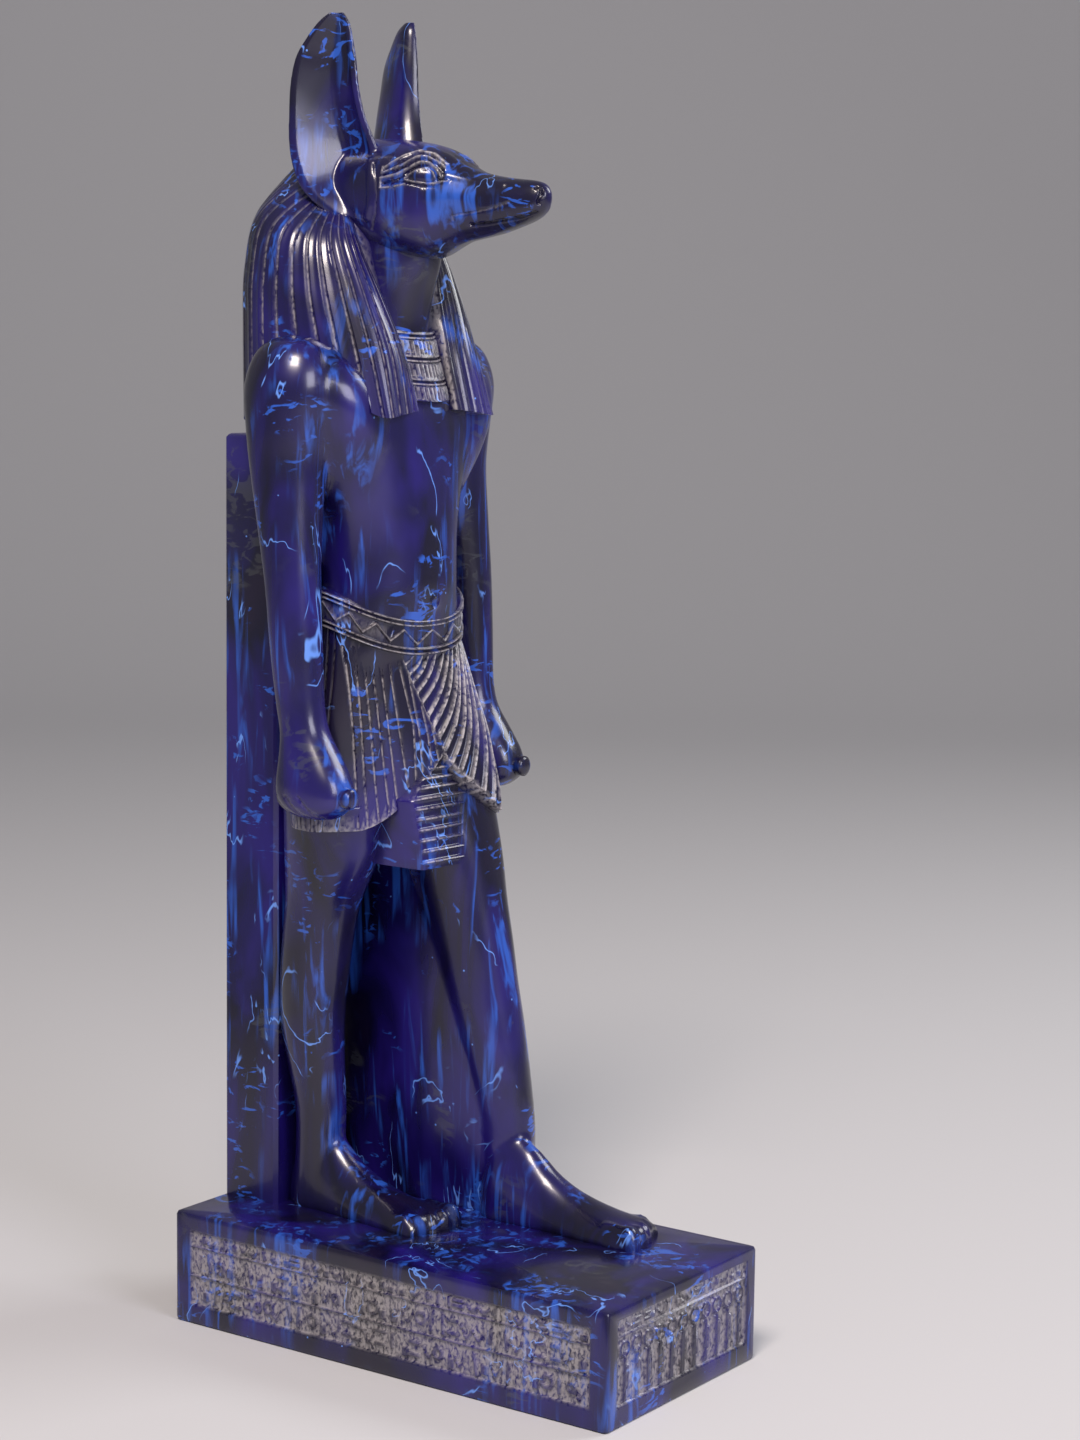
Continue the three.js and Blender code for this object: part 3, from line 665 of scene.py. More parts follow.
@dataclass
class Wig:
    """Long striped wig: strands that fan from under the ears, in front to two lappets."""

    strands: int = 18
    groove: float = 1.1
    rows: int = 70
    faces: int = 46000
    guides: Sequence[Table] = (
        ((14, 37, 342), (17, 30.5, 331), (13.5, 24.5, 316), (10.6, 19, 301), (9.9, 14, 284)),
        ((15, 38, 342.6), (20.5, 30, 332), (20, 23, 317), (18, 17, 301), (19, 12.6, 283)),
        ((16, 40, 343.4), (24, 34, 334), (26, 27, 319), (26.5, 20.5, 302), (27.4, 14.4, 282.4)),
        ((16.6, 43, 345), (27.5, 41, 335), (31.5, 37.5, 321), (33, 33, 306), (33, 28, 288)),
        ((17, 47, 348), (30, 51, 337), (34, 51, 323), (35.5, 50, 308), (35.5, 49, 286)),
        ((15, 54, 353), (27, 62, 341), (30.5, 64, 325), (31, 64, 308), (31, 63.5, 282)),
        ((10, 60, 358), (15.5, 70, 344), (17.5, 73.5, 327), (18, 74, 308), (18, 73.8, 279)),
        ((0, 61, 359), (0, 72.5, 345), (0, 76.5, 328), (0, 77, 308), (0, 76.6, 278)),
    )

    def shell(self) -> Shell:
        """The wig, with a round-topped strand between each two grooves."""
        columns = self.strands * 10
        side = resample(self.guides, columns + 1)
        side = resample(np.swapaxes(side, 0, 1), self.rows)
        phase = np.linspace(0.0, self.strands, columns + 1)
        line = np.abs((phase + 0.5) % 1.0 - 0.5)
        down = np.linspace(0.0, 1.0, self.rows)[:, None]
        cut = groove(line, 0.46)[None] * (0.4 + 0.6 * down)
        away = np.hypot(side[..., 0], side[..., 1] - 42.0)
        scale = 1 - self.groove * (cut - 0.15 * np.cos(2 * np.pi * phase)) / away
        near = np.stack([side[..., 0] * scale, 42 + (side[..., 1] - 42) * scale, side[..., 2]], -1)
        far = near[:, -2::-1] * [-1.0, 1.0, 1.0]
        within = np.array([[-8.0, 30.0], [8.0, 30.0]])
        inner = np.stack([np.append(point, 0.0) + [0.0, 0.0, 1.0] * near[:, 0] for point in within], 1)
        residue = groove(line, 0.24)[None] * (0.25 + 0.4 * down)
        dust = np.concatenate([residue, residue[:, -2::-1], np.zeros((self.rows, 2))], 1)
        return thinned(skin(np.concatenate([near, far, inner], 1), dust), self.faces)


@dataclass
class Collar:
    """Pectoral collar between the lappets: bands of ticks parted by double lines."""

    top: float = 307
    bottom: float = 286.5
    bands: int = 3
    ticks: int = 17
    radius: float = 16
    reach: float = 52

    def shell(self) -> Shell:
        """The collar as a curved block, whose face is carved in rows."""
        rows, columns = 100, 160
        t = np.linspace(0.0, 1.0, rows)[:, None]
        s = np.linspace(-1.0, 1.0, columns)[None]
        angle = np.radians(self.reach) * s
        sag = 1 - np.cos(angle)
        band = (t * self.bands) % 1.0
        in_band = smooth(0.36, 0.42, band) * smooth(0.96, 0.9, band)
        tick = groove(((s * self.ticks / 2) % 1.0) - 0.5, 0.62) * in_band
        gap = groove(band - 0.17, 0.15) + 0.6 * groove(band - 0.35, 0.12)
        cut = np.clip(tick * 0.7 + gap, 0, 1)
        front = 20.6 + (14.4 - 20.6) * t + self.radius * sag + 0.8 * cut
        z = self.top + (self.bottom - self.top) * t + 3 * sag
        face = np.stack([self.radius * np.sin(angle) + 0 * t, front, z], -1)
        back = np.stack([np.broadcast_to([11.0, -11.0], (rows, 2)), np.full((rows, 2), 40.0), z[:, [-1, 0]]], -1)
        ridges = groove(band - 0.07, 0.13) + groove(band - 0.27, 0.12)
        residue = np.clip(0.75 * ridges + 0.35 * in_band * (1 - tick), 0, 1) + 0 * s
        return skin(np.concatenate([face, back], 1), np.concatenate([residue, np.zeros((rows, 2))], 1))


@dataclass
class Waist:
    """Outline of the waist that the belt and the kilt follow."""

    y: float = 39
    side: float = 30.4
    front: float = 22.2
    back: float = 20
    n: float = 2.3
    rise: float = 10.5

    def lift(self, facing: np.ndarray) -> np.ndarray:
        """How much higher the waist line is than in front: rise * (1 - facing^1.6)."""
        return self.rise * (1 - np.maximum(0.0, facing) ** 1.6)

    def ring(self, degrees: np.ndarray) -> tuple[np.ndarray, np.ndarray]:
        """The outline's direction (u, v) at angles from the left side, with v = 1 in front."""
        angle = np.radians(degrees)
        return signed_power(np.cos(angle), 2 / self.n), signed_power(np.sin(angle), 2 / self.n)


@dataclass
class Kilt:
    """Pleated wrap kilt: upright pleats on the near side, and a fan of ribs on the far side.

    The wrap's edge, the ribs and the front pleats are drawn in the plane of the front view, (x, z).
    """

    waist: Waist = field(default_factory=Waist)
    rows: Table = (
        (211, 0, 39, 30, 21.6, 20, 0),
        (197, 0, 38.5, 31, 24, 19.5, 0.18),
        (184, 0, 38, 32, 26, 19, 0.36),
        (170, 0, 37.5, 32.6, 27, 18.5, 0.5),
        (158, 0, 37, 33, 27, 18, 0.56),
    )
    side_hem: float = 158
    apex: float = 181
    near_spread: float = 23
    far_spread: float = 31
    curve: float = 1.25
    side_pleats: int = 42
    depth: float = 0.55
    faces: int = 56000
    wrap: Table = ((-13.4, 216), (-11.8, 210.5), (-9.7, 205.3), (-7.8, 200.8), (-5.3, 195.5), (-3.1, 189.6), (-0.5, 184), (1.4, 179))
    ribs: Sequence[Table] = (
        ((-4.6, 212.4), (-8, 209.9), (-10.4, 208.1)),
        ((-2, 212), (-5.3, 207.6), (-9.4, 205)),
        ((1, 212), (-3.5, 206), (-8.7, 202.2)),
        ((4.4, 212), (-0.5, 204.8), (-7, 199.2)),
        ((8.6, 212), (2.2, 203), (-5.5, 196)),
        ((11.6, 212), (4.4, 201), (-3.9, 191.6)),
        ((13.6, 212), (7, 199.6), (-2.6, 188.2)),
        ((16.4, 212), (8.6, 197), (-1, 184.8)),
        ((17.6, 212), (9.2, 194), (0.9, 181.2)),
        ((20, 212), (10.6, 190.4), (2.9, 177.4)),
        ((21.2, 212), (12.4, 188), (5.8, 175)),
        ((23.4, 212), (16, 188.4), (9, 171.6)),
        ((25.4, 212), (20.2, 187.7), (13.1, 167)),
        ((27.6, 212), (24, 187), (17.4, 163)),
        ((29.4, 212), (27.4, 187), (22.6, 160)),
        ((30.6, 212), (30.4, 187), (27.6, 158)),
    )
    pleats: Sequence[Table] = (
        ((-27.6, 214), (-24, 172), (-23, 158)),
        ((-25.7, 214), (-21.3, 166), (-20.6, 158)),
        ((-23.9, 214), (-18.3, 163.5), (-18, 160)),
        ((-22.1, 214), (-15.7, 165.4), (-15.5, 163)),
        ((-19.6, 214), (-13.6, 167.4), (-13.2, 164)),
        ((-17.1, 214), (-10.6, 170.2), (-10.2, 166)),
        ((-14.2, 214), (-9, 190), (-8.4, 168)),
        ((-9.6, 205), (-7.2, 188), (-6.4, 172)),
        ((-6, 197), (-4.4, 186), (-3.7, 174)),
        ((-3, 189), (-2.2, 184), (-1.5, 178)),
    )

    def hem_lift(self, x: np.ndarray) -> np.ndarray:
        """Height of the hem over its lowest line: (1 - |x| / spread)^curve of the way to the apex."""
        spread = np.where(x < 0, self.near_spread, self.far_spread)
        share = np.maximum(0.0, 1 - np.abs(x) / spread) ** self.curve
        return (self.apex - self.side_hem) * share

    def pattern(self, x: np.ndarray, z: np.ndarray, degrees: np.ndarray, v: np.ndarray) -> tuple[np.ndarray, np.ndarray]:
        """What is raised at each point, in millimetres, and the dust on it.

        Args:
            x: place across.
            z: height.
            degrees: angle round the waist from the left side.
            v: how far the surface faces forwards.

        Returns:
            The height over the plain kilt, and the dust.
        """
        wrap = np.asarray(self.wrap, float)
        edge_x = np.interp(z, wrap[::-1, 1], wrap[::-1, 0])
        in_front = smooth(0.0, 0.12, v)
        fan = smooth(-0.2, 0.2, x - edge_x) * in_front * (z > 158)
        rib = np.zeros_like(x)
        for line in self.ribs:
            rib = np.maximum(rib, groove(line_distance(x, z, resample(line, 7))[0], 1.9))
        pleat = np.zeros_like(x)
        for line in self.pleats:
            pleat = np.maximum(pleat, groove(line_distance(x, z, np.asarray(line, float))[0], 0.9))
        pleat = pleat * in_front
        phase = degrees / 240.0 * self.side_pleats
        beside = groove(np.abs((phase + 0.5) % 1.0 - 0.5), 0.3) * smooth(-42, -36, degrees) * smooth(222, 216, degrees)
        beside = beside * np.where((degrees > 158) | (degrees < 18), 1.0, 0.0)
        wrap_line = groove(line_distance(x, z, wrap)[0], 1.0) * in_front
        raised = fan * (0.9 * rib - 0.75) + (1 - fan) * (-self.depth * np.maximum(pleat, beside)) + 0.5 * wrap_line
        dust = fan * rib**2 * 0.9 + (1 - fan) * np.maximum(pleat, 0.6 * beside) ** 2 * 0.8
        return raised, np.maximum(dust, wrap_line**2 * 0.8)

    def shell(self) -> Shell:
        """The kilt as a loft down the body, with its pattern worked along its columns."""
        rows = 110
        degrees = np.concatenate([np.arange(-60.0, 14.0, 0.85), np.arange(14.0, 125.0, 0.36), np.arange(125.0, 300.0, 0.7)])[None]
        u, v = self.waist.ring(degrees)
        foot = np.asarray(self.rows[-1], float)
        hem = np.where(v > 0, self.hem_lift(foot[3] * u), 0.0)
        end = 1 - hem / (self.rows[0][0] - self.side_hem)
        t = np.linspace(0.0, 1.0, rows)[:, None]
        at = t * end * (len(self.rows) - 1)
        table = resample(self.rows, 401)
        z, _, y, side, front, back, skew = (np.interp(at, np.linspace(0, 4, 401), table[:, k]) for k in range(7))
        z = z + self.waist.lift(v) * (1 - t)
        raised, dust = self.pattern(side * u, z, degrees + 0 * t, v + 0 * t)
        px = (side + raised) * u
        py = y - (np.where(v > 0, front, back) + raised) * v - skew * px * np.maximum(0, v)
        dust = np.maximum(dust, smooth(0.975, 0.99, t) * 0.7)
        return thinned(skin(np.stack([px, py, z], -1), dust), self.faces)


@dataclass
class Apron:
    """Panel that hangs from under the wrap's edge, crossed by raised bars."""

    kilt: Kilt = field(default_factory=Kilt)
    top: float = 183
    bottom: float = 146
    half_top: float = 16
    half_bottom: float = 10.6
    front_top: float = 12
    front_bottom: float = 8.4
    bars: Sequence[float] = (179.0, 176.2, 173.4, 170.6, 167.6, 164.5, 161.3, 158.1, 154.8, 151.5, 148.2)
    relief: float = 1.0

    def opening(self, z: np.ndarray, spread: float) -> np.ndarray:
        """Half width of the opening under the hem at a height, plus the overlap behind its edge."""
        rise = np.clip((z - self.kilt.side_hem) / (self.kilt.apex - self.kilt.side_hem), 0, 1)
        return spread * (1 - rise ** (1 / self.kilt.curve)) + 1.5

    def shell(self) -> Shell:
        """The panel as rows of a wide bar section, pushed out at each bar."""
        rows, columns = 170, 40
        t = np.linspace(0.0, 1.0, rows)[:, None]
        z = self.top + (self.bottom - self.top) * t
        half = self.half_top + (self.half_bottom - self.half_top) * t
        near = np.minimum(half, self.opening(z, self.kilt.near_spread))
        far = np.minimum(half, self.opening(z, self.kilt.far_spread))
        s = np.linspace(0.0, 1.0, columns)[None]
        x = far + (-near - far) * s
        bar = groove(np.abs(z - np.asarray(self.bars)[None]).min(1, keepdims=True), 1.5)
        inside = smooth(0.05, 0.09, s) * smooth(0.97, 0.93, s)
        rim = groove(s - 0.04, 0.07)
        front = self.front_top + (self.front_bottom - self.front_top) * t
        raised = np.maximum(bar * inside, 0.8 * rim)
        y = front + 0.2 + 1.8 * s - self.relief * (raised - 0.5) + 1.6 * smooth(0.97, 1, s)
        face = np.stack([x, y, z + 0 * s], -1)
        back = np.stack([np.concatenate([-near, far], 1), np.full((rows, 2), 34.0), np.repeat(z, 2, 1)], -1)
        dust = np.concatenate([raised**2 * 0.85, np.zeros((rows, 2))], 1)
        return skin(np.concatenate([face, back], 1), dust)


@dataclass
class Belt:
    """Belt with two cords along each edge and a zigzag between them."""

    waist: Waist = field(default_factory=Waist)
    top: float = 221.2
    bottom: float = 210
    teeth: int = 13
    faces: int = 30000

    def shell(self) -> Shell:
        """A band round the waist whose face is raised at the cords and the zigzag."""
        rows, columns = 50, 620
        degrees = np.linspace(-60.0, 300.0, columns, endpoint=False)[None]
        t = np.linspace(0.0, 1.0, rows)[:, None]
        u, v = self.waist.ring(degrees)
        wave = np.abs(((degrees / 260.0 * self.teeth) % 1.0) * 2 - 1)
        zigzag = groove(t - (0.31 + 0.36 * wave), 0.15)
        cords = sum(groove(t - place, 0.1) for place in (0.06, 0.18, 0.8, 0.93))
        raised = np.clip(cords + 0.85 * zigzag, 0, 1)
        grow = np.where((t <= 0) | (t >= 1), -3.0, 1.1 * raised - 0.1)
        x = (self.waist.side + grow) * u
        y = self.waist.y - (np.where(v > 0, self.waist.front, self.waist.back) + grow) * v
        z = self.top + (self.bottom - self.top) * t + self.waist.lift(v)
        ground = 0.18 * smooth(0.25, 0.3, t) * smooth(0.75, 0.7, t)
        return thinned(skin(np.stack([x, y, z], -1), np.maximum(0.75 * raised**2, ground)), self.faces)


@dataclass
class Rods:
    """Short rod that each fist holds."""

    radius: float = 3.2
    x: float = 43.2
    front: float = 11.4
    length: float = 10
    z: float = 171.6

    def shell(self) -> Shell:
        """Both rods, as short bars along y with a domed front end."""
        profile = ((0, 0.45), (0.3, 0.75), (0.9, 0.94), (1.8, 1), (self.length, 1))
        rows = [(self.front + y, self.x, self.z, *([self.radius * size] * 3), 2) for y, size in profile]
        rod = level(rows, 32, 30)
        return joined([rod, rod.mirrored()])


# Plinth and pillar


@dataclass
class Plinth:
    """Rectangular plinth whose sides carry recessed panels of shallow strokes."""

    width: float = 80
    length: float = 162.7
    height: float = 35.4
    shift_x: float = -4
    bevel: float = 1.2
    margin: float = 6
    panel_bottom: float = 6
    panel_top: float = 30
    front_top: float = 32
    depth: float = 1.0
    cell: float = 0.55
    seed: int = 7
    faces: int = 70000

    def strokes(self, along: np.ndarray, up: np.ndarray, half: float, rows: Table, pitch: float) -> np.ndarray:
        """Raised field of plain bars, dots and bows in rows; it spells nothing.

        Args:
            along: place along the panel at every point, from its middle.
            up: height at every point.
            half: half the panel's length.
            rows: each row's middle height and its height.
            pitch: mean step from one mark to the next.

        Returns:
            1 on a mark and 0 off it, with a soft edge 0.3 mm wide.
        """
        rng = np.random.default_rng(self.seed)
        field_up = np.zeros(np.broadcast(along, up).shape)
        for middle, tall in rows:
            place = -half + pitch / 2
            while place < half - pitch / 2:
                kind = rng.integers(0, 5)
                lean = rng.uniform(-0.25, 0.25)
                size = rng.uniform(0.55, 1.0)
                da = along - place - rng.uniform(-0.15, 0.15) * pitch
                du = up - middle - rng.uniform(-0.06, 0.06) * tall
                if kind == 0:
                    mark = np.hypot(da - lean * du, np.maximum(0, np.abs(du) - 0.36 * tall * size)) - 0.45
                elif kind == 1:
                    mark = np.hypot(np.maximum(0, np.abs(da) - 0.34 * pitch), np.abs(np.abs(du) - 0.22 * tall) ) - 0.4
                elif kind == 2:
                    mark = np.abs(np.hypot(da, du) - 0.24 * tall * size) - 0.4
                elif kind == 3:
                    mark = np.hypot(np.maximum(0, np.abs(da) - 0.36 * pitch), du + 0.25 * tall * np.cos(da)) - 0.45
                else:
                    mark = np.maximum(np.abs(da) - 0.22 * pitch, np.abs(du + 0.2 * tall) - 0.16 * tall)
                field_up = np.maximum(field_up, smooth(0.3, 0.0, mark))
                place += pitch * rng.uniform(0.8, 1.1)
        return field_up

    def side_panel(self, along: np.ndarray, up: np.ndarray) -> tuple[np.ndarray, np.ndarray]:
        """Depth and dust of a long side's panel: a band of blocks over two rows of marks."""
        half = self.length / 2 - self.margin
        inside = smooth(half, half - 0.5, np.abs(along)) * smooth(self.panel_bottom, self.panel_bottom + 0.5, up) * smooth(self.panel_top, self.panel_top - 0.5, up)
        rows = [(27.4, 3.6), (19.9, 8.4), (10.8, 8.4)]
        marks = self.strokes(along, up, half - 1, rows[:1], 4.4)
        marks = np.maximum(marks, self.strokes(along, up, half - 1, rows[1:], 4.6))
        rulers = np.maximum(groove(up - 25.0, 0.9), groove(up - 15.4, 0.9))
        raised = np.maximum(marks * 0.75, rulers * 0.8)
        return inside * self.depth * (1 - raised), 0.65 * inside * (1 - raised)

    def front_panel(self, along: np.ndarray, up: np.ndarray) -> tuple[np.ndarray, np.ndarray]:
        """Depth and dust of an end's panel: a band of blocks over a row of ringed posts."""
        half = self.width / 2 - self.margin * 0.9
        inside = smooth(half, half - 0.5, np.abs(along)) * smooth(self.panel_bottom, self.panel_bottom + 0.5, up) * smooth(self.front_top, self.front_top - 0.5, up)
        marks = self.strokes(along, up, half - 1, [(29.4, 3.6)], 4.0)
        count = 11
        pitch = 2 * (half - 1) / count
        local = (along + half - 1) % pitch - pitch / 2
        ring = smooth(0.3, 0.0, np.abs(np.hypot(local, up - 22.6) - 2.2) - 0.4)
        post = smooth(0.3, 0.0, np.maximum(np.abs(local) - 0.9 - 0.1 * np.sin(up * 1.7), np.abs(up - 13.3) - 6.4))
        side_bar = smooth(0.3, 0.0, np.maximum(np.abs(local - 2.0) - 0.35, np.abs(up - 14) - 3.4))
        ruler = groove(up - 26.6, 0.9) + 0 * along
        raised = np.maximum.reduce([marks * 0.75, ring, post, side_bar * 0.7, ruler * 0.8])
        return inside * self.depth * (1 - raised * 0.85), 0.65 * inside * (1 - raised)

    def shell(self) -> Shell:
        """The plinth as rings round its height; each side is sunk by its own panel."""
        w, d, b = self.width / 2, self.length / 2, self.bevel
        near = np.arange(-d + b, d - b, self.cell)
        end = np.arange(-w + b, w - b, self.cell)
        coarse_near = np.arange(-d + b, d - b, self.cell * 1.6)
        corner = np.linspace(0, np.pi / 2, 5)[1:-1]
        x, y, side, along = [], [], [], []

        def add(px: np.ndarray, py: np.ndarray, which: int, place: np.ndarray) -> None:
            """One stretch of the outline, with the side that it belongs to."""
            x.append(px)
            y.append(py)
            side.append(np.full(len(px), which))
            along.append(place)

        def turn(cx: float, cy: float, start: float) -> None:
            """One rounded corner, going anticlockwise."""
            add(cx + b * np.cos(start + corner), cy + b * np.sin(start + corner), 4, corner)

        add(np.full(len(near), -w), near[::-1], 0, near[::-1])
        turn(-w + b, -d + b, np.pi)
        add(end, np.full(len(end), -d), 1, end)
        turn(w - b, -d + b, 1.5 * np.pi)
        add(np.full(len(coarse_near), w), coarse_near, 2, coarse_near)
        turn(w - b, d - b, 0)
        add(end[::-1], np.full(len(end), d), 3, end[::-1])
        turn(-w + b, d - b, 0.5 * np.pi)
        x, y, side, along = (np.concatenate(part)[None] for part in (x, y, side, along))
        z = np.concatenate([[0.0, b * 0.3], np.arange(b, self.height - b, self.cell), [self.height - b, self.height - b * 0.3, self.height]])[:, None]
        inset = np.where(z < b, b - np.sqrt(np.maximum(0, b**2 - (b - z) ** 2)), 0) * 0.7
        inset += np.where(z > self.height - b, b - np.sqrt(np.maximum(0, b**2 - (z - self.height + b) ** 2)), 0)
        long_depth, long_dust = self.side_panel(along, z)
        end_depth, end_dust = self.front_panel(along, z)
        depth = np.where((side == 0) | (side == 2), long_depth, np.where((side == 1) | (side == 3), end_depth, 0))
        dust = np.where((side == 0) | (side == 2), long_dust, np.where((side == 1) | (side == 3), end_dust, 0))
        push_x = np.where(side == 0, 1, 0) - np.where(side == 2, 1, 0)
        push_y = np.where(side == 1, 1, 0) - np.where(side == 3, 1, 0)
        px = x * (1 - inset / w) + push_x * depth + self.shift_x
        py = y * (1 - inset / d) + push_y * depth
        rings = np.stack([px, py, z + 0 * px], -1)
        return thinned(skin(rings, dust), self.faces)


@dataclass
class Pillar:
    """Back pillar, flush with the plinth behind."""

    width: float = 42
    front: float = 60
    back: float = 81.35
    bottom: float = 34
    top: float = 275.5
    bevel: float = 1.2
    cell: float = 2.5

    def shell(self) -> Shell:
        """A rounded box as rings up its height."""
        half, mid, deep = self.width / 2, (self.front + self.back) / 2, (self.back - self.front) / 2
        n_side, n_deep = int(self.width / self.cell), int(2 * deep / self.cell)
        b = self.bevel
        u = np.concatenate([np.linspace(-half + b, half - b, n_side), np.full(n_deep, half), np.linspace(half - b, -half + b, n_side), np.full(n_deep, -half)])
        v = np.concatenate([np.full(n_side, -deep), np.linspace(-deep + b, deep - b, n_deep), np.full(n_side, deep), np.linspace(deep - b, -deep + b, n_deep)])
        z = np.append(np.linspace(self.bottom, self.top - b, int((self.top - self.bottom) / self.cell)), [self.top - b * 0.3, self.top])[:, None]
        inset = np.where(z > self.top - b, (z - self.top + b) ** 2 / b, 0)
        return skin(np.stack([u * (1 - inset / half), mid + v * (1 - inset / deep), z + 0 * u], -1))


# Finish


def linear(colour: str) -> tuple[float, float, float, float]:
    """An sRGB hex colour as the linear numbers that a shader takes."""
    part = np.array([int(colour[k : k + 2], 16) for k in (1, 3, 5)]) / 255
    value = np.where(part <= 0.04045, part / 12.92, ((part + 0.055) / 1.055) ** 2.4)
    return (*value.tolist(), 1.0)


@dataclass
class Nodes:
    """A material's node tree, with the one way in which nodes are added to it."""

    tree: bpy.types.NodeTree

    def add(self, kind: str, links: dict | None = None, **settings: object) -> bpy.types.Node:
        """Adds a node.

        Args:
            kind: the node's type.
            links: input name or index to an output socket or a plain value.
            **settings: the node's own settings.

        Returns:
            The node.
        """
        node = self.tree.nodes.new(kind)
        for key, value in settings.items():
            setattr(node, key, value)
        for key, value in (links or {}).items():
            if isinstance(value, bpy.types.NodeSocket):
                self.tree.links.new(value, node.inputs[key])
            else:
                node.inputs[key].default_value = value
        return node

    def ramp(self, value: bpy.types.NodeSocket, stops: Sequence[tuple[float, str]]) -> bpy.types.NodeSocket:
        """Colour of a value between hex stops."""
        node = self.add("ShaderNodeValToRGB", {"Fac": value})
        elements = node.color_ramp.elements
        while len(elements) < len(stops):
            elements.new(0.5)
        for element, (place, colour) in zip(elements, stops):
            element.position = place
            element.color = linear(colour)
        return node.outputs["Color"]


@dataclass(frozen=True)
class MarbledResin:
    """Filled casting resin, poured in two blues and polished.

    The polish gives a soft gloss under a thin clear skin. The pour leaves paler blue streaks that
    run down the piece, a few sharp veins and ragged patches, and pin-sized bubbles.
    """

    name: str = "marbled_cast_resin"
    deep: str = "#090527"
    body: str = "#130b4c"
    violet: str = "#20146c"
    plum: str = "#150c2a"
    streak: str = "#2a5cc4"
    vein: str = "#6ea2ff"
    olive: str = "#4b4f52"
    dust: str = "#b9b3b4"
    roughness: float = 0.27

    def noise(self, nodes: Nodes, place: bpy.types.NodeSocket, size: Sequence[float], seed: float, detail: float, bend: float) -> bpy.types.NodeSocket:
        """Fractal noise whose features are of a given size.

        Args:
            nodes: the tree.
            place: coordinates in metres.
            size: feature size along x, y and z in millimetres.
            seed: offset that makes it differ from the others.
            detail: how many finer layers it has.
            bend: how far it is warped.

        Returns:
            The noise value, about 0.5 on average.
        """
        scale = tuple(1 / (length * MM) for length in size)
        moved = nodes.add("ShaderNodeMapping", {"Vector": place, "Location": (seed, seed * 1.7, seed * 0.6), "Scale": scale})
        made = nodes.add("ShaderNodeTexNoise", {"Vector": moved.outputs[0], "Scale": 1.0, "Detail": detail, "Distortion": bend})
        return made.outputs[0]

    def window(self, nodes: Nodes, value: bpy.types.NodeSocket, low: float, high: float, top: float = 1.0) -> bpy.types.NodeSocket:
        """The value's place between two levels, from 0 to a top value, with soft ends."""
        links = {"Value": value, "From Min": low, "From Max": high, "To Min": 0.0, "To Max": top}
        return nodes.add("ShaderNodeMapRange", links, interpolation_type="SMOOTHSTEP").outputs[0]

    def times(self, nodes: Nodes, one: bpy.types.NodeSocket, other: bpy.types.NodeSocket) -> bpy.types.NodeSocket:
        """The product of two values."""
        return nodes.add("ShaderNodeMath", {0: one, 1: other}, operation="MULTIPLY").outputs[0]

    def over(self, nodes: Nodes, under: bpy.types.NodeSocket, share: bpy.types.NodeSocket, colour: str) -> bpy.types.NodeSocket:
        """A colour laid over another by a share."""
        return nodes.add("ShaderNodeMix", {0: share, 6: under, 7: linear(colour)}, data_type="RGBA").outputs[2]

    def marbling(self, nodes: Nodes, place: bpy.types.NodeSocket) -> bpy.types.NodeSocket:
        """The poured colours: clouds, soft streaks, ragged patches, sharp veins and bubbles."""
        cloud = self.noise(nodes, place, (28, 28, 60), 3.1, 3, 0.8)
        base = nodes.ramp(cloud, [(0.3, self.plum), (0.42, self.deep), (0.52, self.body), (0.66, self.violet)])
        where = self.noise(nodes, place, (26, 26, 42), 7.3, 2, 0.5)
        streaks = self.noise(nodes, place, (4.2, 4.2, 46), 1.4, 4, 0.9)
        soft = self.times(nodes, self.window(nodes, streaks, 0.5, 0.68, 0.85), self.window(nodes, where, 0.46, 0.62))
        colour = self.over(nodes, base, soft, self.streak)
        blots = self.noise(nodes, place, (9, 9, 4), 5.9, 6, 1.6)
        spread = self.noise(nodes, place, (30, 30, 30), 11.2, 2, 0.3)
        ragged = self.times(nodes, self.window(nodes, blots, 0.57, 0.62, 0.9), self.window(nodes, spread, 0.56, 0.62))
        colour = self.over(nodes, colour, ragged, self.streak)
        ash = self.times(nodes, self.window(nodes, blots, 0.5, 0.42), self.window(nodes, spread, 0.4, 0.34, 0.35))
        colour = self.over(nodes, colour, ash, self.olive)
        wander = self.noise(nodes, place, (26, 26, 48), 2.2, 4, 0.8)
        centred = nodes.add("ShaderNodeMath", {0: wander, 1: 0.5}, operation="SUBTRACT").outputs[0]
        ridge = nodes.add("ShaderNodeMath", {0: centred}, operation="ABSOLUTE").outputs[0]
        lines = self.window(nodes, ridge, 0.007, 0.001, 0.8)
        few = self.window(nodes, self.noise(nodes, place, (22, 22, 22), 17.7, 2, 0.4), 0.54, 0.6)
        colour = self.over(nodes, colour, self.times(nodes, lines, few), self.vein)
        cells = nodes.add("ShaderNodeTexVoronoi", {"Vector": place, "Scale": 210.0}).outputs["Distance"]
        rare = self.window(nodes, self.noise(nodes, place, (6, 6, 6), 23.0, 1, 0), 0.6, 0.64)
        bubbles = self.times(nodes, self.window(nodes, cells, 0.09, 0.05, 0.8), rare)
        return self.over(nodes, colour, bubbles, self.vein)

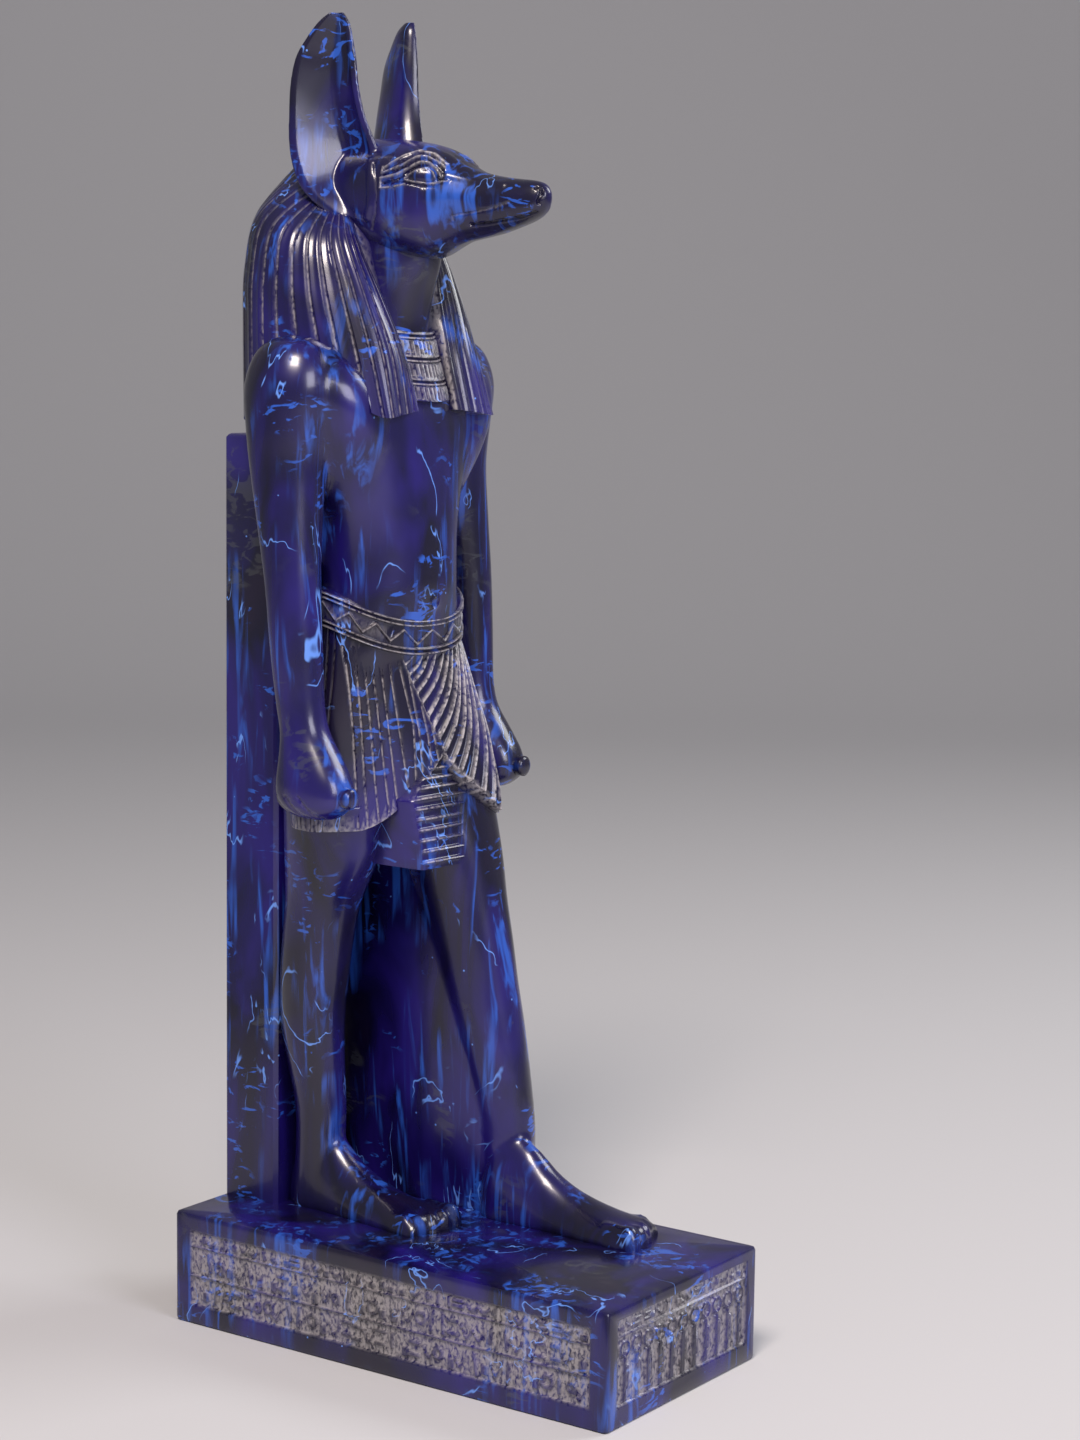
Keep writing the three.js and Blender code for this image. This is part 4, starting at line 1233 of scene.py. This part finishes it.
    def material(self) -> bpy.types.Material:
        """The resin with its marbling, and the pale dust that the casting keeps, which along the head's raised lines is
        partly a painted highlight.
        """
        made = bpy.data.materials.new(self.name)
        made.use_nodes = True
        made.node_tree.nodes.clear()
        nodes = Nodes(made.node_tree)
        place = nodes.add("ShaderNodeTexCoord").outputs["Object"]
        colour = self.marbling(nodes, place)
        # The dust attribute is pale casting dust, and along the head's raised lines partly a painted highlight.
        dust = nodes.add("ShaderNodeAttribute", attribute_name="dust").outputs["Fac"]
        grain = self.window(nodes, self.noise(nodes, place, (1.1, 1.1, 1.6), 9.0, 4, 0.5), 0.3, 0.62)
        shown = self.times(nodes, dust, grain)
        colour = self.over(nodes, colour, shown, self.dust)
        rough = nodes.add("ShaderNodeMapRange", {"Value": shown, "To Min": self.roughness, "To Max": 0.62}).outputs[0]
        links = {
            "Base Color": colour,
            "Roughness": rough,
            "IOR": 1.54,
            "Coat Weight": 0.35,
            "Coat Roughness": 0.1,
        }
        shader = nodes.add("ShaderNodeBsdfPrincipled", links)
        nodes.add("ShaderNodeOutputMaterial", {"Surface": shader.outputs[0]})
        return made


class Stage(Enum):
    """What stands round the object and isn't part of it."""

    FLOOR = "studio_floor"


@dataclass
class Studio:
    """Pale floor, soft lights and the camera at the photograph's place."""

    eye: tuple[float, float, float] = (-717.6, -532.8, 311.2)
    yaw: float = -54.67
    pitch: float = 7.60
    roll: float = 0.74
    lens: float = 75.0

    def camera(self) -> None:
        """The camera, from its yaw, pitch and roll, as the frame of its right, up and back."""
        yaw, pitch, roll = np.radians([self.yaw, self.pitch, self.roll])
        ahead = np.array([-np.sin(yaw) * np.cos(pitch), np.cos(yaw) * np.cos(pitch), -np.sin(pitch)])
        level_right = np.array([np.cos(yaw), np.sin(yaw), 0.0])
        level_up = np.cross(level_right, ahead)
        right = level_right * np.cos(roll) + level_up * np.sin(roll)
        up = -level_right * np.sin(roll) + level_up * np.cos(roll)
        data = bpy.data.cameras.new("camera")
        data.lens = self.lens
        data.sensor_width = 36.0
        data.clip_start = 0.01
        camera = bpy.data.objects.new("camera", data)
        bpy.context.scene.collection.objects.link(camera)
        turn = Matrix((right, up, -ahead)).transposed().to_4x4()
        camera.matrix_world = Matrix.Translation(Vector(self.eye) * MM) @ turn
        bpy.context.scene.camera = camera

    def light(self, name: str, place: Sequence[float], aim: Sequence[float], size: float, power: float, colour: str) -> None:
        """A square soft light that looks at a point; lengths in metres."""
        data = bpy.data.lights.new(name, "AREA")
        data.size = size
        data.energy = power
        data.color = linear(colour)[:3]
        lamp = bpy.data.objects.new(name, data)
        lamp.location = place
        lamp.rotation_euler = (Vector(aim) - Vector(place)).to_track_quat("-Z", "Y").to_euler()
        bpy.context.scene.collection.objects.link(lamp)

    def floor(self) -> None:
        """A wide pale floor that curves up behind, as one swept profile."""
        across = np.linspace(-3.0, 3.0, 3)[:, None]
        run = np.linspace(0.0, 1.0, 60)
        bend = np.clip((run - 0.55) / 0.25, 0, 1) * np.pi / 2
        ahead = np.where(run < 0.55, -1.6 + run / 0.55 * 3.0, 1.4 + 0.8 * np.sin(bend))
        rise = np.where(run < 0.55, 0.0, 0.8 * (1 - np.cos(bend)) + np.maximum(0, run - 0.8) * 8)
        yaw = np.radians(self.yaw)
        back = np.array([-np.sin(yaw), np.cos(yaw)])
        right = np.array([np.cos(yaw), np.sin(yaw)])
        x = back[0] * ahead + right[0] * across
        y = back[1] * ahead + right[1] * across
        z = rise + 0 * across
        points = np.stack([x, y, z], -1).reshape(-1, 3)
        index = np.arange(len(points)).reshape(x.shape)
        quads = np.stack([index[:-1, :-1], index[1:, :-1], index[1:, 1:], index[:-1, 1:]], -1).reshape(-1, 4)
        mesh = bpy.data.meshes.new(Stage.FLOOR.value)
        mesh.from_pydata(points.tolist(), [], quads.tolist())
        mesh.polygons.foreach_set("use_smooth", np.ones(len(quads), bool))
        paper = bpy.data.materials.new("pale_paper")
        paper.use_nodes = True
        paper.node_tree.nodes["Principled BSDF"].inputs["Base Color"].default_value = linear("#c9c9cc")
        paper.node_tree.nodes["Principled BSDF"].inputs["Roughness"].default_value = 0.9
        mesh.materials.append(paper)
        floor = bpy.data.objects.new(Stage.FLOOR.value, mesh)
        bpy.context.scene.collection.objects.link(floor)
        floor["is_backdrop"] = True

    def build(self) -> None:
        """Camera, lights, floor and the dim light of the room."""
        self.camera()
        self.floor()
        self.light("key_light", (-0.75, -0.35, 1.25), (0, 0, 0.2), 0.4, 17, "#fff1e6")
        self.light("fill_light", (-0.35, -1.35, 0.75), (0, 0, 0.2), 0.6, 9, "#f2f0ff")
        self.light("rim_light", (0.8, -0.5, 0.9), (0, 0, 0.2), 0.5, 5, "#ffffff")
        world = bpy.data.worlds.new("room")
        world.use_nodes = True
        world.node_tree.nodes["Background"].inputs["Color"].default_value = linear("#e4e4e8")
        world.node_tree.nodes["Background"].inputs["Strength"].default_value = 0.3
        bpy.context.scene.world = world
        bpy.context.scene.view_settings.view_transform = "Standard"


@dataclass
class Casting:
    """The whole statue as one piece."""

    name: str = "cast_statue"
    faces: int = 194000
    crease_cell: float = 3.0
    finish: MarbledResin = field(default_factory=MarbledResin)
    parts: dict[str, Callable[[], Shell]] = field(
        default_factory=lambda: {
            "plinth": Plinth().shell,
            "pillar": Pillar().shell,
            "body": Body().shell,
            "rods": Rods().shell,
            "head": Head().shell,
            "wig": Wig().shell,
            "collar": Collar().shell,
            "kilt": Kilt().shell,
            "apron": Apron().shell,
            "belt": Belt().shell,
        }
    )

    def creases(self, shell: Shell) -> np.ndarray:
        """How sharply the surface folds inwards at each point, from 0 to 1.

        Two faces fold inwards where the far corner of one lies over the plane of the other. The
        fold counts from 20 to 60 degrees.
        """
        faces = shell.faces
        a, b, c = (shell.points[faces[:, k]] for k in range(3))
        normal = np.cross(b - a, c - a)
        normal /= np.linalg.norm(normal, axis=1, keepdims=True) + 1e-12
        pairs = np.concatenate([faces[:, [0, 1]], faces[:, [1, 2]], faces[:, [2, 0]]])
        face = np.tile(np.arange(len(faces)), 3)
        far = np.concatenate([faces[:, 2], faces[:, 0], faces[:, 1]])
        low, high = pairs.min(1), pairs.max(1)
        order = np.lexsort((high, low))
        low, high, face, far = low[order], high[order], face[order], far[order]
        same = (low[1:] == low[:-1]) & (high[1:] == high[:-1])
        one, two = np.flatnonzero(same), np.flatnonzero(same) + 1
        turn = np.degrees(np.arccos(np.clip(np.einsum("ij,ij->i", normal[face[one]], normal[face[two]]), -1, 1)))
        over = np.einsum("ij,ij->i", shell.points[far[two]] - shell.points[low[one]], normal[face[one]]) > 0
        fold = smooth(20, 60, turn) * over
        result = np.zeros(len(shell.points))
        np.maximum.at(result, low[one], fold)
        np.maximum.at(result, high[one], fold)
        return result

    def build(self) -> bpy.types.Object:
        """Joins all the carving, dresses it, and puts it in the CAD node's place."""
        shells = []
        for name, make in self.parts.items():
            shell = make()
            log.info("%s: %d faces", name, len(shell.faces))
            shells.append(shell)
        whole = thinned(united(shells), self.faces)
        log.info("one casting: %d faces", len(whole.faces))
        limit = np.asarray(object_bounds()) / MM
        whole = Shell(np.clip(whole.points, *limit), whole.faces, whole.dust)
        piece = to_object(whole, self.name, MM)
        mesh = piece.data
        edge = np.linalg.norm(whole.points[whole.faces] - whole.points[np.roll(whole.faces, 1, axis=1)], axis=2).max(1)
        crease = self.creases(whole)[whole.faces] * smooth(self.crease_cell, self.crease_cell * 0.6, edge)[:, None]
        dust = np.maximum(whole.dust[whole.faces], crease * 0.8)
        corner = mesh.attributes.new("fold", "FLOAT", "CORNER")
        corner.data.foreach_set("value", dust.astype(np.float32).ravel())
        mesh.polygons.foreach_set("use_smooth", np.ones(len(whole.faces), bool))
        mesh.set_sharp_from_angle(angle=np.radians(42))
        mesh.materials.append(self.finish.material())
        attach(piece, "root")
        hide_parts(NODE)
        return piece


def main() -> None:
    """Loads the frame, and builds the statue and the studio."""
    logging.basicConfig(level=logging.INFO, format="%(name)s %(message)s")
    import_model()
    Studio().build()
    Casting().build()


if __name__ == "__main__":
    main()
